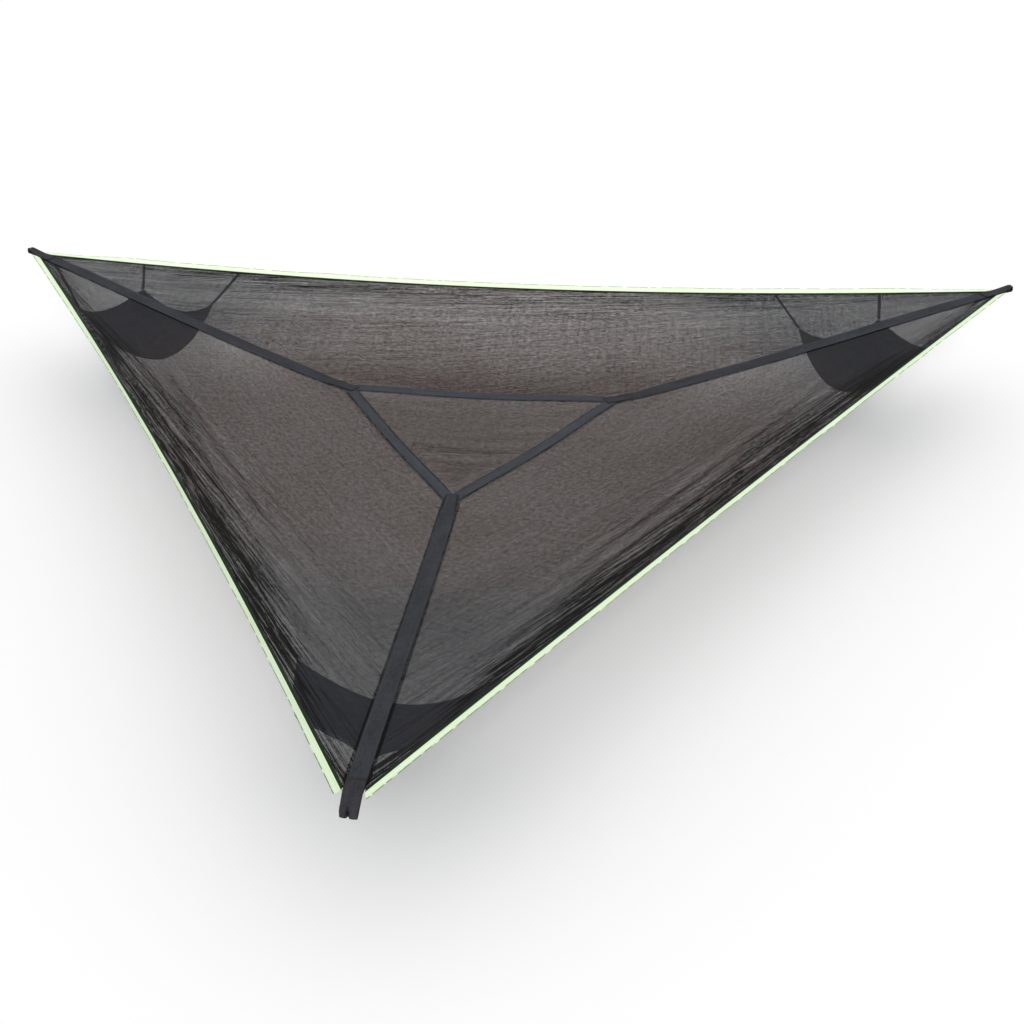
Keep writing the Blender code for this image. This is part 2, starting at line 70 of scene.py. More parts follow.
# %% A helper that puts something in the scene
def new_object(name, data):
    """Put a mesh, a light or a camera in the scene."""
    made = bpy.data.objects.new(name, data)
    bpy.context.scene.collection.objects.link(made)
    return made


# %% The camera at the photograph's viewing angle
IMAGE_SIZE = 1024
FOCAL_PIXELS = 1522.25
CENTRE_X, CENTRE_Y = 458.95, 509.82
SENSOR_WIDTH = 36.0

optics = bpy.data.cameras.new("camera")
optics.sensor_width = SENSOR_WIDTH
optics.lens = FOCAL_PIXELS / IMAGE_SIZE * SENSOR_WIDTH
optics.shift_x = (IMAGE_SIZE / 2 - CENTRE_X) / IMAGE_SIZE
optics.shift_y = (CENTRE_Y - IMAGE_SIZE / 2) / IMAGE_SIZE
optics.clip_end = 200.0
camera = new_object("camera", optics)
camera.matrix_world = Matrix((
    (0.99267, -0.05569, 0.10726, 0.530),
    (0.12085, 0.46649, -0.87623, -4.679),
    (-0.00124, 0.88277, 0.46980, 2.016),
    (0.0, 0.0, 0.0, 1.0)))
bpy.context.scene.camera = camera
print("lens", round(optics.lens, 1), "mm")

# %% [markdown]
# ## Arithmetic for materials
# A material is a graph of nodes, but a pattern such as a weave is easier to read as a formula. A `Wire`
# wraps one output socket. When wires are added or multiplied, the Math nodes are added for us. A
# `Graph` is a node tree with methods for the other nodes, and a `Finish` is one material.

# %% The Wire class
class Wire:
    """An output socket of a node, for use in ordinary arithmetic."""

    def __init__(self, graph, socket):
        self.graph, self.socket = graph, socket

    def maths(self, operation, *others):
        return self.graph.maths(operation, self, *others)

    __add__ = __radd__ = partialmethod(maths, "ADD")
    __mul__ = __rmul__ = partialmethod(maths, "MULTIPLY")
    __sub__ = partialmethod(maths, "SUBTRACT")
    __abs__ = partialmethod(maths, "ABSOLUTE")

    def __rsub__(self, other):
        return self.graph.maths("SUBTRACT", other, self)


# %% The Graph class
class Graph:
    """A node tree that is filled by calls."""

    def __init__(self, tree):
        self.tree = tree

    def fill(self, socket, value):
        """Link a wire to a socket, or give the socket a plain value."""
        if isinstance(value, Wire):
            self.tree.links.new(value.socket, socket)
        else:
            socket.default_value = value

    def node(self, kind, settings=None, sockets=None, output=0):
        """Add a node, set it, fill its sockets, and return one of its outputs."""
        made = self.tree.nodes.new("ShaderNode" + kind)
        for name, value in (settings or {}).items():
            setattr(made, name, value)
        for name, value in (sockets or {}).items():
            self.fill(made.inputs[name], value)
        return Wire(self, made.outputs[output])

    def maths(self, operation, *values):
        return self.node("Math", {"operation": operation}, dict(enumerate(values)))

    def seen(self, plain, seen):
        """One level for the light in the scene, and another for the camera, mirrors and glass."""
        straight, mirrored, through = (self.node("LightPath", output=f"Is {ray} Ray")
                                       for ray in ("Camera", "Glossy", "Transmission"))
        looked = self.node("Clamp", None, {"Value": straight + mirrored + through})
        return looked * (seen - plain) + plain


# %% The Finish class
class Finish(Graph):
    """One material: a Principled shader and the nodes that feed it."""

    def __init__(self, name, colour, roughness, gloss=0.2):
        self.material = bpy.data.materials.new(name)
        self.material.use_nodes = True
        super().__init__(self.material.node_tree)
        self.shader = self.tree.nodes["Principled BSDF"]
        self.set("Base Color", (*colour, 1.0))
        self.set("Roughness", roughness)
        self.set("Specular IOR Level", gloss)

    def set(self, socket, value):
        """Give a socket of the shader a value or a wire."""
        self.fill(self.shader.inputs[socket], value)

    def uv(self, name="cloth"):
        return self.node("UVMap", {"uv_map": name})

    def axes(self, vector):
        """The X and the Y of a vector."""
        return (self.node("SeparateXYZ", None, {"Vector": vector}, output=axis) for axis in "XY")

    def grain(self, vector, x, y, detail=2.0, rough=0.5):
        """Soft noise from 0 to 1 that changes x and y times in one unit of a flat vector."""
        stretched = self.node("Mapping", None, {"Vector": vector, "Scale": (x, y, 1.0)})
        return self.node("TexNoise", {"noise_dimensions": "2D"},
                         {"Vector": stretched, "Scale": 1.0, "Detail": detail, "Roughness": rough})

    def step(self, value, low, high):
        """0 below low and 1 above high, with a soft step between them."""
        return self.node("MapRange", {"interpolation_type": "SMOOTHSTEP"},
                         {"Value": value, "From Min": low, "From Max": high})

    def line(self, noise_wire, width):
        """Thin lines where a noise crosses its middle value."""
        return 1 - self.step(abs(noise_wire - 0.5), width * 0.2, width)

    def mix(self, share, first, second):
        """The first colour where share is 0 and the second where it is 1."""
        first, second = ((*look, 1.0) if isinstance(look, tuple) else look for look in (first, second))
        return self.node("Mix", {"data_type": "RGBA"}, {0: share, 6: first, 7: second}, output=2)

    def relief(self, height, depth):
        """Let a height from 0 to 1 turn the surface's normal, as if it were depth metres deep."""
        self.set("Normal", self.node("Bump", None, {"Height": height, "Distance": depth}))


print("classes ready")

# %% [markdown]
# ## Studio
# A see-through net takes much of its look from what is behind it. The floor is pale and plain. A soft
# sun stands behind the camera and low, so that the shadow of the net falls where we look through it,
# and the world fills the rest evenly. The camera, mirrors and glass see a nearly white floor and world,
# without any more light on the hammock.

# %% Floor, sun and world
FLOOR_HEIGHT = -0.42
FLOOR_SIZE = 120.0
FLOOR_SEEN = 0.98
FLOOR_LIT = 0.62
WORLD_LIGHT = 0.82
SUN_STRENGTH = 1.40
SUN_ANGLE = 24.0
SUN_FROM = Vector((0.6, -4.7, 2.8))

floor_mesh = bpy.data.meshes.new("floor")
bm = bmesh.new()
bmesh.ops.create_grid(bm, x_segments=1, y_segments=1, size=FLOOR_SIZE / 2,
                      matrix=Matrix.Translation((0, 0, FLOOR_HEIGHT)))
bm.to_mesh(floor_mesh)
bm.free()
new_object("floor", floor_mesh)
ground = Finish("floor", (FLOOR_LIT,) * 3, 0.9, gloss=0.0)
ground.set("Base Color", ground.seen(FLOOR_LIT, FLOOR_SEEN))
floor_mesh.materials.append(ground.material)

sun_data = bpy.data.lights.new("soft_sun", "SUN")
sun_data.energy, sun_data.angle = SUN_STRENGTH, radians(SUN_ANGLE)
new_object("soft_sun", sun_data).matrix_world = SUN_FROM.to_track_quat("Z", "Y").to_matrix().to_4x4()

world = bpy.data.worlds.new("studio")
world.use_nodes = True
bpy.context.scene.world = world
sky = Graph(world.node_tree)
backdrop = sky.tree.nodes["Background"]
sky.fill(backdrop.inputs["Color"], (1.0, 1.0, 1.0, 1.0))
sky.fill(backdrop.inputs["Strength"], sky.seen(WORLD_LIGHT, 1.0))
bpy.context.scene.view_settings.view_transform = "Standard"
print("studio ready")

# %% [markdown]
# ## The shape of the bed
# The bed has three alike sides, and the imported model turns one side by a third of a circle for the
# other two. We could measure its solids, but a formula gives a smooth height at any point, so these are
# the same few formulas. In them `d` is the distance from the middle of the bed straight towards a side,
# `t` the distance along that side, and `u` runs from -1 to 1 between the two spokes.

# %% Sizes of the bed
ROOT3 = sqrt(3)
SIDE = 3.86
CORNER_RADIUS = SIDE / ROOT3
APOTHEM = SIDE / (2 * ROOT3)
EDGE_BOW, EDGE_SAG, EDGE_TURN_UP = 0.050, 0.046, 0.24
CENTRE_APOTHEM, CENTRE_SAG, CENTRE_STRAP_SAG, CENTRE_DIP = 0.275, 0.168, 0.010, 0.018
SPOKE_SAG, PANEL_SAG, SAG_SCALE = 0.011, 0.030, 27 / 4
FOLD_COUNT, FOLD_DEPTH, FOLD_START, FOLD_END = 3, 0.007, 0.05, 0.35
SPOKE_HALF, SPOKE_END_HALF, SPOKE_TAPER, SPOKE_LAP, STRAP_HALF = 0.025, 0.021, 0.22, 0.035, 0.020
NET_PLY, WEBBING, HEM_PLY, TAPE_PLY = 0.0012, 0.002, 0.0008, 0.0012
HEM_WIDTH, HEM_SEEN, NET_REACH, TAPE_WIDTH, TAPE_TUCK = 0.014, 0.0085, 0.0072, 0.025, 0.005
PLY_GAP, SLOT_GAP, SIDE_GAP, SEAM_GAP, SEW_LAP = 0.0004, 0.0003, 0.0004, 0.001, 0.015
STRAP_OUT, STRAP_IN = CENTRE_APOTHEM + STRAP_HALF, CENTRE_APOTHEM - STRAP_HALF
FLAT_RADIUS = 2 * STRAP_OUT
FLAT_APOTHEM = (FLAT_RADIUS + ROOT3 * SPOKE_HALF) / 2
LANE = 2 * SPOKE_HALF / ROOT3
EDGE_RADIUS = CORNER_RADIUS - ROOT3 * SPOKE_HALF
CROSSING_LIFT = WEBBING + 2 * PLY_GAP
FLEX_INSET, CUT_INSET = 0.037, 0.0051
FLEX_RADIUS = CORNER_RADIUS - FLEX_INSET
BED_CUT = FLEX_RADIUS - CUT_INSET
SIDES = {"back": 0, "left": 120, "right": 240}
CORNERS = {"front": 0, "right": 120, "left": 240}
print("a corner lies", round(CORNER_RADIUS, 3), "m from the middle")


# %% Helpers for turns and steps
def turned(angle):
    return Matrix.Rotation(radians(angle), 4, "Z")


def spread(low, high, steps):
    """Evenly spaced values from low to high."""
    return [low + (high - low) * i / steps for i in range(steps + 1)]


def ease(value, low, high):
    """0 below low and 1 above high, with a soft step between them."""
    share = min(1.0, max(0.0, (value - low) / (high - low)))
    return share * share * (3 - 2 * share)


print("a quarter of the way up, a soft step has reached", round(ease(0.25, 0.0, 1.0), 3))


# %% Places and heights on the bed
def edge_distance(u):
    return APOTHEM - EDGE_BOW * (1 - u * u)


def along_side(u, d):
    return u * ROOT3 * (d - LANE)


def spoke_height(radius):
    share = min(1.0, (CORNER_RADIUS - radius) / (CORNER_RADIUS - FLAT_RADIUS))
    return -CENTRE_SAG * share - SPOKE_SAG * SAG_SCALE * max(0.0, share) ** 2 * (1 - share)


def centre_height(d, t):
    inner = max(min(d, STRAP_IN), 1e-6)
    along = max(0.0, 1 - (t / (ROOT3 * inner)) ** 2) ** 2
    reach = (inner / STRAP_IN) ** 2
    return -CENTRE_SAG - CENTRE_STRAP_SAG * along * reach - CENTRE_DIP * (1 - reach)


def side_height(u, d, folds=1.0):
    """Height of the net's top on a side panel, with its three long folds."""
    edge = edge_distance(u)
    slack = 1 - u * u
    share = (edge - d) / (edge - FLAT_APOTHEM)
    straight = spoke_height(EDGE_RADIUS + (FLAT_RADIUS - EDGE_RADIUS) * share)
    rim_sag = CENTRE_SAG + centre_height(FLAT_APOTHEM, along_side(u, FLAT_APOTHEM))
    loose = max(0.0, (edge - HEM_WIDTH - d) / (edge - HEM_WIDTH - FLAT_APOTHEM))
    fold = sin(pi * FOLD_COUNT * (share - FOLD_START) / (FOLD_END - FOLD_START)) ** 2
    fold *= FOLD_START < share < FOLD_END
    return (straight + rim_sag * share - EDGE_SAG * slack * (1 - share)
            + EDGE_TURN_UP * max(0.0, d - edge)
            - PANEL_SAG * 4 * loose * (1 - loose) * slack - FOLD_DEPTH * folds * fold * slack ** 2)


print("the middle hangs", round(-centre_height(0, 0), 3), "m below the corners")

# %% [markdown]
# ## Netting
# The bed is a knitted net. It could be modelled thread by thread, but it has hundreds of thousands of
# holes, so the material draws them. Two sine waves, one along the edge and one across it, multiply to a
# pattern of rounded holes. Where the product is small there is thread, and elsewhere the net is open, so
# the Alpha is a soft threshold of it. Where the net is gathered in folds its holes close up: the
# attribute `gather` raises the threshold there, and a noise that is stretched along the folds draws
# the fine streaks. In the folds and in the doubled net beside the straps, the thread colour is also
# darkened as painted shade. The map `fan` gives the distance from a corner and the angle round it. The
# thread is dusty in the middle of the bed, where people sit, and the back panel has the smallest holes.

# %% The net finishes
TURN = 2 * pi
HOLE_PITCH = 0.0056
HOLE_EDGE, BACK_HOLE_EDGE = 0.455, 0.585
HOLE_SOFT = 0.10
GATHER_CLOSE = 0.52
THREAD_DUSTY, THREAD_CLEAN = (0.064, 0.043, 0.036), (0.034, 0.034, 0.038)
# The colour of the painted shade in the folds and along the seams beside the straps.
THREAD_FOLD_SHADE = (0.007, 0.0065, 0.006)
SEAM_DARK = 0.0055
DUST_GONE, DUST_FULL = 1.45, 0.85


def net_finish(name, seam, hole_edge=HOLE_EDGE):
    """Dark knitted netting. seam(along, across) gives the distance in metres from the next strap."""
    finish = Finish(name, THREAD_DUSTY, 0.9, gloss=0.08)
    cloth = finish.uv()
    along, across = finish.axes(cloth)
    wander = finish.grain(cloth, 14.0, 14.0) * 2.4
    holes = abs((along * (TURN / HOLE_PITCH) + wander).maths("SINE")
                * (across * (TURN / HOLE_PITCH) + wander * 1.3).maths("SINE"))
    gather = finish.node("Attribute", {"attribute_name": "gather"}, output="Fac")
    doubled_and_shaded = 1 - finish.step(seam(along, across), SEAM_DARK * 0.7, SEAM_DARK)
    fan = finish.uv("fan")
    streaks = (finish.line(finish.grain(fan, 1.3, 2.6, 3.0, 0.6), 0.09) * 0.75
               + finish.line(finish.grain(fan, 1.9, 5.2, 2.0), 0.10) * 0.60
               + finish.step(finish.grain(fan, 0.9, 1.7, 4.0, 0.6), 0.42, 0.70) * 0.30)
    barre = finish.grain(cloth, 1.4, 110.0, 2.0) + finish.grain(cloth, 170.0, 2.0, 2.0)
    mottle = finish.grain(cloth, 55.0, 80.0, 3.0, 0.65)
    cloud = finish.grain(cloth, 2.2, 4.5, 3.0)
    from_middle = finish.node("VectorMath", {"operation": "LENGTH"}, {0: cloth}, output="Value")
    worn = finish.step(from_middle, DUST_GONE, DUST_FULL)
    uneven = (barre - 1) * 0.34 + (mottle - 0.5) * (worn * 0.65 + 0.65) + (cloud - 0.5) * 0.22
    pulled = gather * (streaks + 0.06)
    closed = pulled * GATHER_CLOSE + doubled_and_shaded * 0.22 + uneven * 0.5 + (1 - worn) * 0.06
    finish.set("Alpha", 1 - finish.step(holes - closed, hole_edge - HOLE_SOFT, hole_edge + HOLE_SOFT))
    # Painted shade: the thread is darkened in the gathered folds and beside the straps, where shade falls.
    # The cloud part only varies the tone at random.
    shaded = finish.step(pulled + doubled_and_shaded * 0.6 + (0.5 - cloud) * 0.3, 0.05, 0.60)
    thread = finish.mix(worn * (mottle * 0.5 + 0.75), THREAD_CLEAN, THREAD_DUSTY)
    finish.set("Base Color", finish.mix(shaded, thread, THREAD_FOLD_SHADE))
    finish.relief(1 - holes, 0.0004)
    return finish.material


def side_seam(along, across):
    spoke_edge = across * (ROOT3 / 2) - abs(along) * 0.5 - SPOKE_HALF
    return spoke_edge.maths("MINIMUM", across - STRAP_OUT)


def centre_seam(along, across):
    slanted = abs(along) * (ROOT3 / 2) - across * 0.5
    return STRAP_IN - slanted.maths("MAXIMUM", across)


NET_SIDE = net_finish("net_side", side_seam)
NET_BACK = net_finish("net_back", side_seam, BACK_HOLE_EDGE)
NET_CENTRE = net_finish("net_centre", centre_seam)
print("net holes about", round(HOLE_PITCH / 2 * 1000, 1), "mm apart")

# %% [markdown]
# ## Webbing, tape and cloth
# Woven goods share one recipe. A picture of a weave could be laid on them, but a formula has its true
# size on every band and never blurs. Ribs run along the band and the weft crosses them, which gives a
# basket pattern for the relief and a slight change of shade. A row of stitching lies a fixed distance
# to each side of the middle: it is a narrow step on the distance across, cut into dashes by a sine
# wave. The straps are darkened along their edges as painted shade. The tape has a line of another
# colour, and the binding has a near-black line beside the tape, which is a painted seam shadow. The tape
# is fluorescent, and a little emission, a painted glow, makes it brighter than its lighting alone would.

# %% The woven finishes
STITCH_PITCH = 0.0045


def woven_finish(name, colour, worn, rib=0.0022, pick=0.0030, depth=0.0005, row=None, thread=None,
                 roughness=0.8, wear=7.0, shaded_edge=None, rim=None, glow=0.0):
    """Woven cloth or webbing. rib and pick are the steps of its weave and depth their relief. row is the
    distance of a stitch row from the middle line, rim the start, the breaks from 0 to 1 and the colour
    of a line along the outer edge, and glow the strength of a painted glow. When an edge width is given,
    the band is darkened at its edges as painted shade."""
    finish = Finish(name, colour, roughness)
    cloth = finish.uv()
    along, across = finish.axes(cloth)
    warp = (across * (TURN / rib)).maths("COSINE")
    weft = (along * (TURN / pick)).maths("SINE")
    weave = (warp * 0.5 + 0.5) * 0.55 + (warp * weft * 0.5 + 0.5) * 0.45
    patches = finish.grain(cloth, wear, wear * 4, 4.0, 0.6)
    specks = finish.grain(cloth, 45.0, 120.0, 3.0, 0.7)
    shade = finish.step(patches * 0.45 + specks * 0.45 + weave * 0.10, 0.32, 0.68)
    look = finish.mix(shade, colour, worn)
    height = weave
    # Painted shade: the colour is darkened along the band's edges, where shade falls beside the strap.
    if shaded_edge:
        side = finish.step(abs(across), shaded_edge - 0.0024, shaded_edge - 0.0008)
        look = finish.mix(side * 0.45, look, tuple(part * 0.35 for part in colour))
        height = height - side * 0.6
    if rim:
        start, breaks, rim_colour = rim
        whole = finish.step(finish.grain(cloth, 26.0, 1.0, 3.0, 0.7), breaks - 0.06, breaks + 0.06)
        look = finish.mix(finish.step(across, start, start + 0.0007) * whole, look, rim_colour)
    if row:
        offset = abs(abs(across) - row)
        stitch = ((1 - finish.step(offset, 0.0004, 0.0008))
                  * finish.step((along * (TURN / STITCH_PITCH)).maths("SINE"), -0.55, -0.25))
        look = finish.mix(stitch, look, thread)
        height = height + stitch * 1.2 - (1 - finish.step(offset, 0.0008, 0.0022)) * 0.8
    finish.set("Base Color", look)
    # Painted glow: an emission of the cloth's own colour that brightens it beyond what its lighting gives.
    if glow:
        finish.set("Emission Color", look)
        finish.set("Emission Strength", glow)
    finish.set("Roughness", shade * 0.10 + (roughness - 0.05))
    finish.relief(height, depth)
    return finish.material


# %% Straps, tapes, cloth and thread
SPOKE = woven_finish("spoke_strap", (0.016, 0.017, 0.022), (0.038, 0.040, 0.049),
                     row=0.0205, thread=(0.055, 0.058, 0.066), shaded_edge=SPOKE_HALF)
CENTRE_STRAP = woven_finish("centre_strap", (0.026, 0.030, 0.038), (0.052, 0.058, 0.070),
                            row=0.0165, thread=(0.070, 0.075, 0.085), shaded_edge=STRAP_HALF)
LOOP = woven_finish("loop_webbing", (0.017, 0.017, 0.021), (0.043, 0.042, 0.050),
                    row=0.0225, thread=(0.050, 0.050, 0.054), shaded_edge=SPOKE_HALF)
# The tape's small emission is a painted glow that makes the fluorescent tape brighter.
TAPE = woven_finish("edge_tape", (0.75, 0.92, 0.61), (0.83, 0.96, 0.73), 0.0011, 0.0014, 0.0002,
                    row=0.0060, thread=(0.55, 0.80, 0.42), roughness=0.7, wear=3.0,
                    rim=(0.0096, 0.44, (0.10, 0.18, 0.06)), glow=0.11)
# The binding's near-black line beside the tape is a painted seam shadow.
HEM = woven_finish("hem_binding", (0.005, 0.008, 0.005), (0.012, 0.018, 0.011), 0.0010, 0.0012, 0.0002,
                   row=0.0010, thread=(0.02, 0.03, 0.02), rim=(0.0012, 0.05, (0.0022, 0.0180, 0.0016)))
SLING = woven_finish("gear_sling", (0.028, 0.035, 0.055), (0.080, 0.096, 0.140), 0.0009, 0.0011, 0.00015,
                     wear=9.0)
TIE = woven_finish("sling_tie", (0.005, 0.005, 0.006), (0.013, 0.013, 0.014), 0.0010, 0.0013, 0.0002,
                   row=0.0045, thread=(0.02, 0.02, 0.022))
# Near-black thread: real stitching that is also painted dark, so it gives the shadow line along the ply
# ends.
twisted = Finish("stitch_thread", (0.006, 0.006, 0.007), 0.6)
fibres = twisted.grain(twisted.node("TexCoord", output="Object"), 900.0, 900.0)
twisted.set("Base Color", twisted.mix(fibres, (0.002, 0.002, 0.002), (0.010, 0.010, 0.011)))
twisted.relief(fibres, 0.0002)
THREAD = twisted.material
print(len(bpy.data.materials), "materials so far")

# %% [markdown]
# ## Helpers for cloth
# A cloth simulation could hang this bed. But it is pulled so tight that its straps and edges set its
# shape, and points that are put in place are the same in every run. Two shapes are enough. A sheet is a
# grid of such points, and a Solidify modifier gives it its thickness. A band is a closed cross-section
# that is extruded from station to station. Both keep a UV map in metres, so that a weave has its true
# size and follows the cloth.

# %% From a bmesh to an object
SHEET_SHARP, BAND_SHARP = 50, 40


def name_mesh(bm, name, finish, sharp_from=SHEET_SHARP):
    """Turn a bmesh into an object with a finish; edges from the given angle up stay sharp."""
    mesh = bpy.data.meshes.new(name)
    bm.to_mesh(mesh)
    bm.free()
    mesh.materials.append(finish)
    mesh.shade_smooth()
    mesh.set_sharp_from_angle(angle=radians(sharp_from))
    return new_object(name, mesh)


def map_points(bm, spots, layer="cloth"):
    """Write each vertex's place on the flat cloth to a UV map."""
    uv = bm.loops.layers.uv.new(layer)
    for face in bm.faces:
        for corner in face.loops:
            corner[uv].uv = spots[corner.vert]


def face_up(bm):
    """Turn a sheet's faces round where they point down."""
    bm.normal_update()
    if sum(face.normal.z * face.calc_area() for face in bm.faces) < 0:
        bmesh.ops.reverse_faces(bm, faces=bm.faces)


# %% Sheets and bands
def sheet(columns, rows, place, flat):
    """A grid whose point (i, j) lies at place(columns[i], rows[j]); flat gives its UV."""
    bm = bmesh.new()
    bm.verts.layers.float.new("gather")
    bmesh.ops.create_grid(bm, x_segments=len(columns) - 1, y_segments=len(rows) - 1, size=1.0)
    spots = {}
    for vert in bm.verts:
        column = columns[round((vert.co.x + 1) / 2 * (len(columns) - 1))]
        row = rows[round((vert.co.y + 1) / 2 * (len(rows) - 1))]
        vert.co = place(column, row)
        spots[vert] = flat(column, row)
    face_up(bm)
    map_points(bm, spots)
    return bm, spots


def band(stations, section, place, flat):
    """A closed band: its cross-section is drawn out from station to station."""
    bm = bmesh.new()
    ring = [bm.verts.new(place(stations[0], *corner)) for corner in section]
    spots = {vert: flat(stations[0], *corner) for vert, corner in zip(ring, section)}
    face = bm.faces.new(ring)
    for station in stations[1:]:
        face = bmesh.ops.extrude_discrete_faces(bm, faces=[face])["faces"][0]
        for vert, corner in zip(face.verts, section):
            vert.co = place(station, *corner)
            spots[vert] = flat(station, *corner)
    bm.faces.new(list(reversed(ring)))
    bmesh.ops.recalc_face_normals(bm, faces=bm.faces)
    map_points(bm, spots)
    return bm


# %% Cuts and directions
def trim(bm, point, outwards):
    """Take away what lies on the outward side of a plane."""
    return bmesh.ops.bisect_plane(bm, geom=bm.verts[:] + bm.edges[:] + bm.faces[:], dist=1e-7,
                                  plane_co=point, plane_no=outwards, clear_outer=True)["geom_cut"]


def axes_matrix(x, y, z, origin):
    """The matrix that has the three axes x, y and z, and the origin."""
    made = Matrix.Identity(4)
    for column, axis in enumerate((x, y, z, origin)):
        made.col[column].xyz = axis
    return made


def corner_ways(sign):
    """From the middle towards one end of a side, and straight away from the spoke there."""
    return Vector((sign * ROOT3 / 2, 0.5, 0.0)), Vector((-sign * 0.5, ROOT3 / 2, 0.0))


def flat_section(columns, edge=0.014):
    """A webbing's cross-section with rounded edges, as shares of its half width and half thickness."""
    middle = spread(-1 + 4 * edge, 1 - 4 * edge, columns)
    top = [(-1.0, 0.25), (-1 + edge, 0.8), *((x, 1.0) for x in middle), (1 - edge, 0.8), (1.0, 0.25)]
    return top + [(x, -y) for x, y in reversed(top)]


# %% Put a piece in its place
def settle(piece, angle, slot, *nodes, body="bed", bend=None):
    """Turn a piece to its side or corner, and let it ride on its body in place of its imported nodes. With
    a bend, it follows the bed up to the bend's first point and the body from its second one."""
    turn = turned(angle)
    piece.data.transform(turn)
    if bend:
        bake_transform(piece, "bed", body, start=turn @ bend[0], end=turn @ bend[1])
    else:
        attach(piece, body)
    if nodes:
        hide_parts(*nodes)
    print(piece.name, "has", len(piece.data.polygons), "faces")


def lay_cloth(piece, thickness, angle, slot, node, body="bed"):
    """Give a sheet its thickness below it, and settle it."""
    shell = piece.modifiers.new("thickness", "SOLIDIFY")
    shell.thickness, shell.offset = thickness, -1
    shell.use_quality_normals = True
    settle(piece, angle, slot, node, body=body)


print("helpers ready")

# %% [markdown]
# ## The net panels
# Each side panel is one stretched piece of netting. The pull of the loops gathers it into folds that
# fan out from the corners and lie close along the edge. Drawn in the material alone, they would stay
# flat from the side. So we work out one number for every point, the pull, from the distance and the
# angle to the nearest corner. It lifts small ridges in the mesh, and it is kept as the attribute
# `gather`, so that the finish can close the holes in the same places.

# %% Folds that fan out from the corners
FAN_REACH = {"back": (0.14, 0.18), "left": (0.75, 0.90), "right": (0.95, 0.80)}
FOLD_SHARE = {"back": 0.35, "left": 1.0, "right": 1.0}
SLACK_PULL = {"back": 0.18, "left": 0.07, "right": 0.07}
RIM_PULL = {"back": 0.16, "left": 0.40, "right": 0.40}
FAN_START = {"back": ((0.45, 1.0), (0.45, 1.0)), "left": ((0.20, 0.75), (0.45, 1.05)),
             "right": ((0.50, 1.05), (0.20, 0.75))}
FAN_WIDTH = 7.5
RIM_REACH = 0.075
RIDGE_HEIGHT, WAVE_HEIGHT = 0.0034, 0.0035


def fan_place(t, d, end):
    """Distance from a corner, and degrees from the edge's straight line; end is -1 or 1."""
    beside, inwards = SIDE / 2 - end * t, APOTHEM - d
    return hypot(beside, inwards), degrees(atan2(inwards, beside))


def fan_pull(t, d, end, strength, start):
    """How strongly the net is gathered near a corner's fan, and the ridge there from -1 to 1."""
    radius, angle = fan_place(t, d, end)
    u_edge = max(-1.0, min(1.0, t / (SIDE / 2)))
    edge_angle = fan_place(t, edge_distance(u_edge), end)[1]
    inside = max(0.0, angle - edge_angle)
    width = FAN_WIDTH * (0.55 + 0.45 * min(1.0, 1.2 / max(radius, 0.2)))
    pull = strength * exp(-(inside / width) ** 2) * ease(radius, *start)
    pull *= 1 - ease(radius, 1.9, 3.0) * 0.8
    ripple = noise((angle * 0.95, radius * 0.8, 3.7 * end + strength))
    fine = noise((angle * 2.6, radius * 1.3, 9.1 * end + strength)) * ease(radius, 0.5, 1.4)
    return pull, 0.7 - 2.2 * abs(ripple) - 1.6 * abs(fine)


def net_pull(side, t, d):
    """The pull and the ridge height of a side panel at a point."""
    pulls = [fan_pull(t, d, end, strength, start)
             for end, strength, start in zip((-1, 1), FAN_REACH[side], FAN_START[side])]
    return max(pull for pull, ridge in pulls), sum(pull * ridge for pull, ridge in pulls)


def lap_place(end, d, lift):
    """A point of the net where it reaches under a spoke strap."""
    inset = SPOKE_HALF - SEW_LAP
    return Vector((end * (ROOT3 * d - 2 * inset), d, spoke_height(2 * d - ROOT3 * inset) + lift))


# %% Build the three side panels
NET_CLOTH = 0.0003
NET_LIFT = -(NET_PLY - NET_CLOTH) / 2
PANEL_COLUMNS = 120
DENSE_FROM, LAST_SHARE, ROWS_INSIDE, ROWS_NEAR_EDGE = 0.42, 0.03, 34, 62


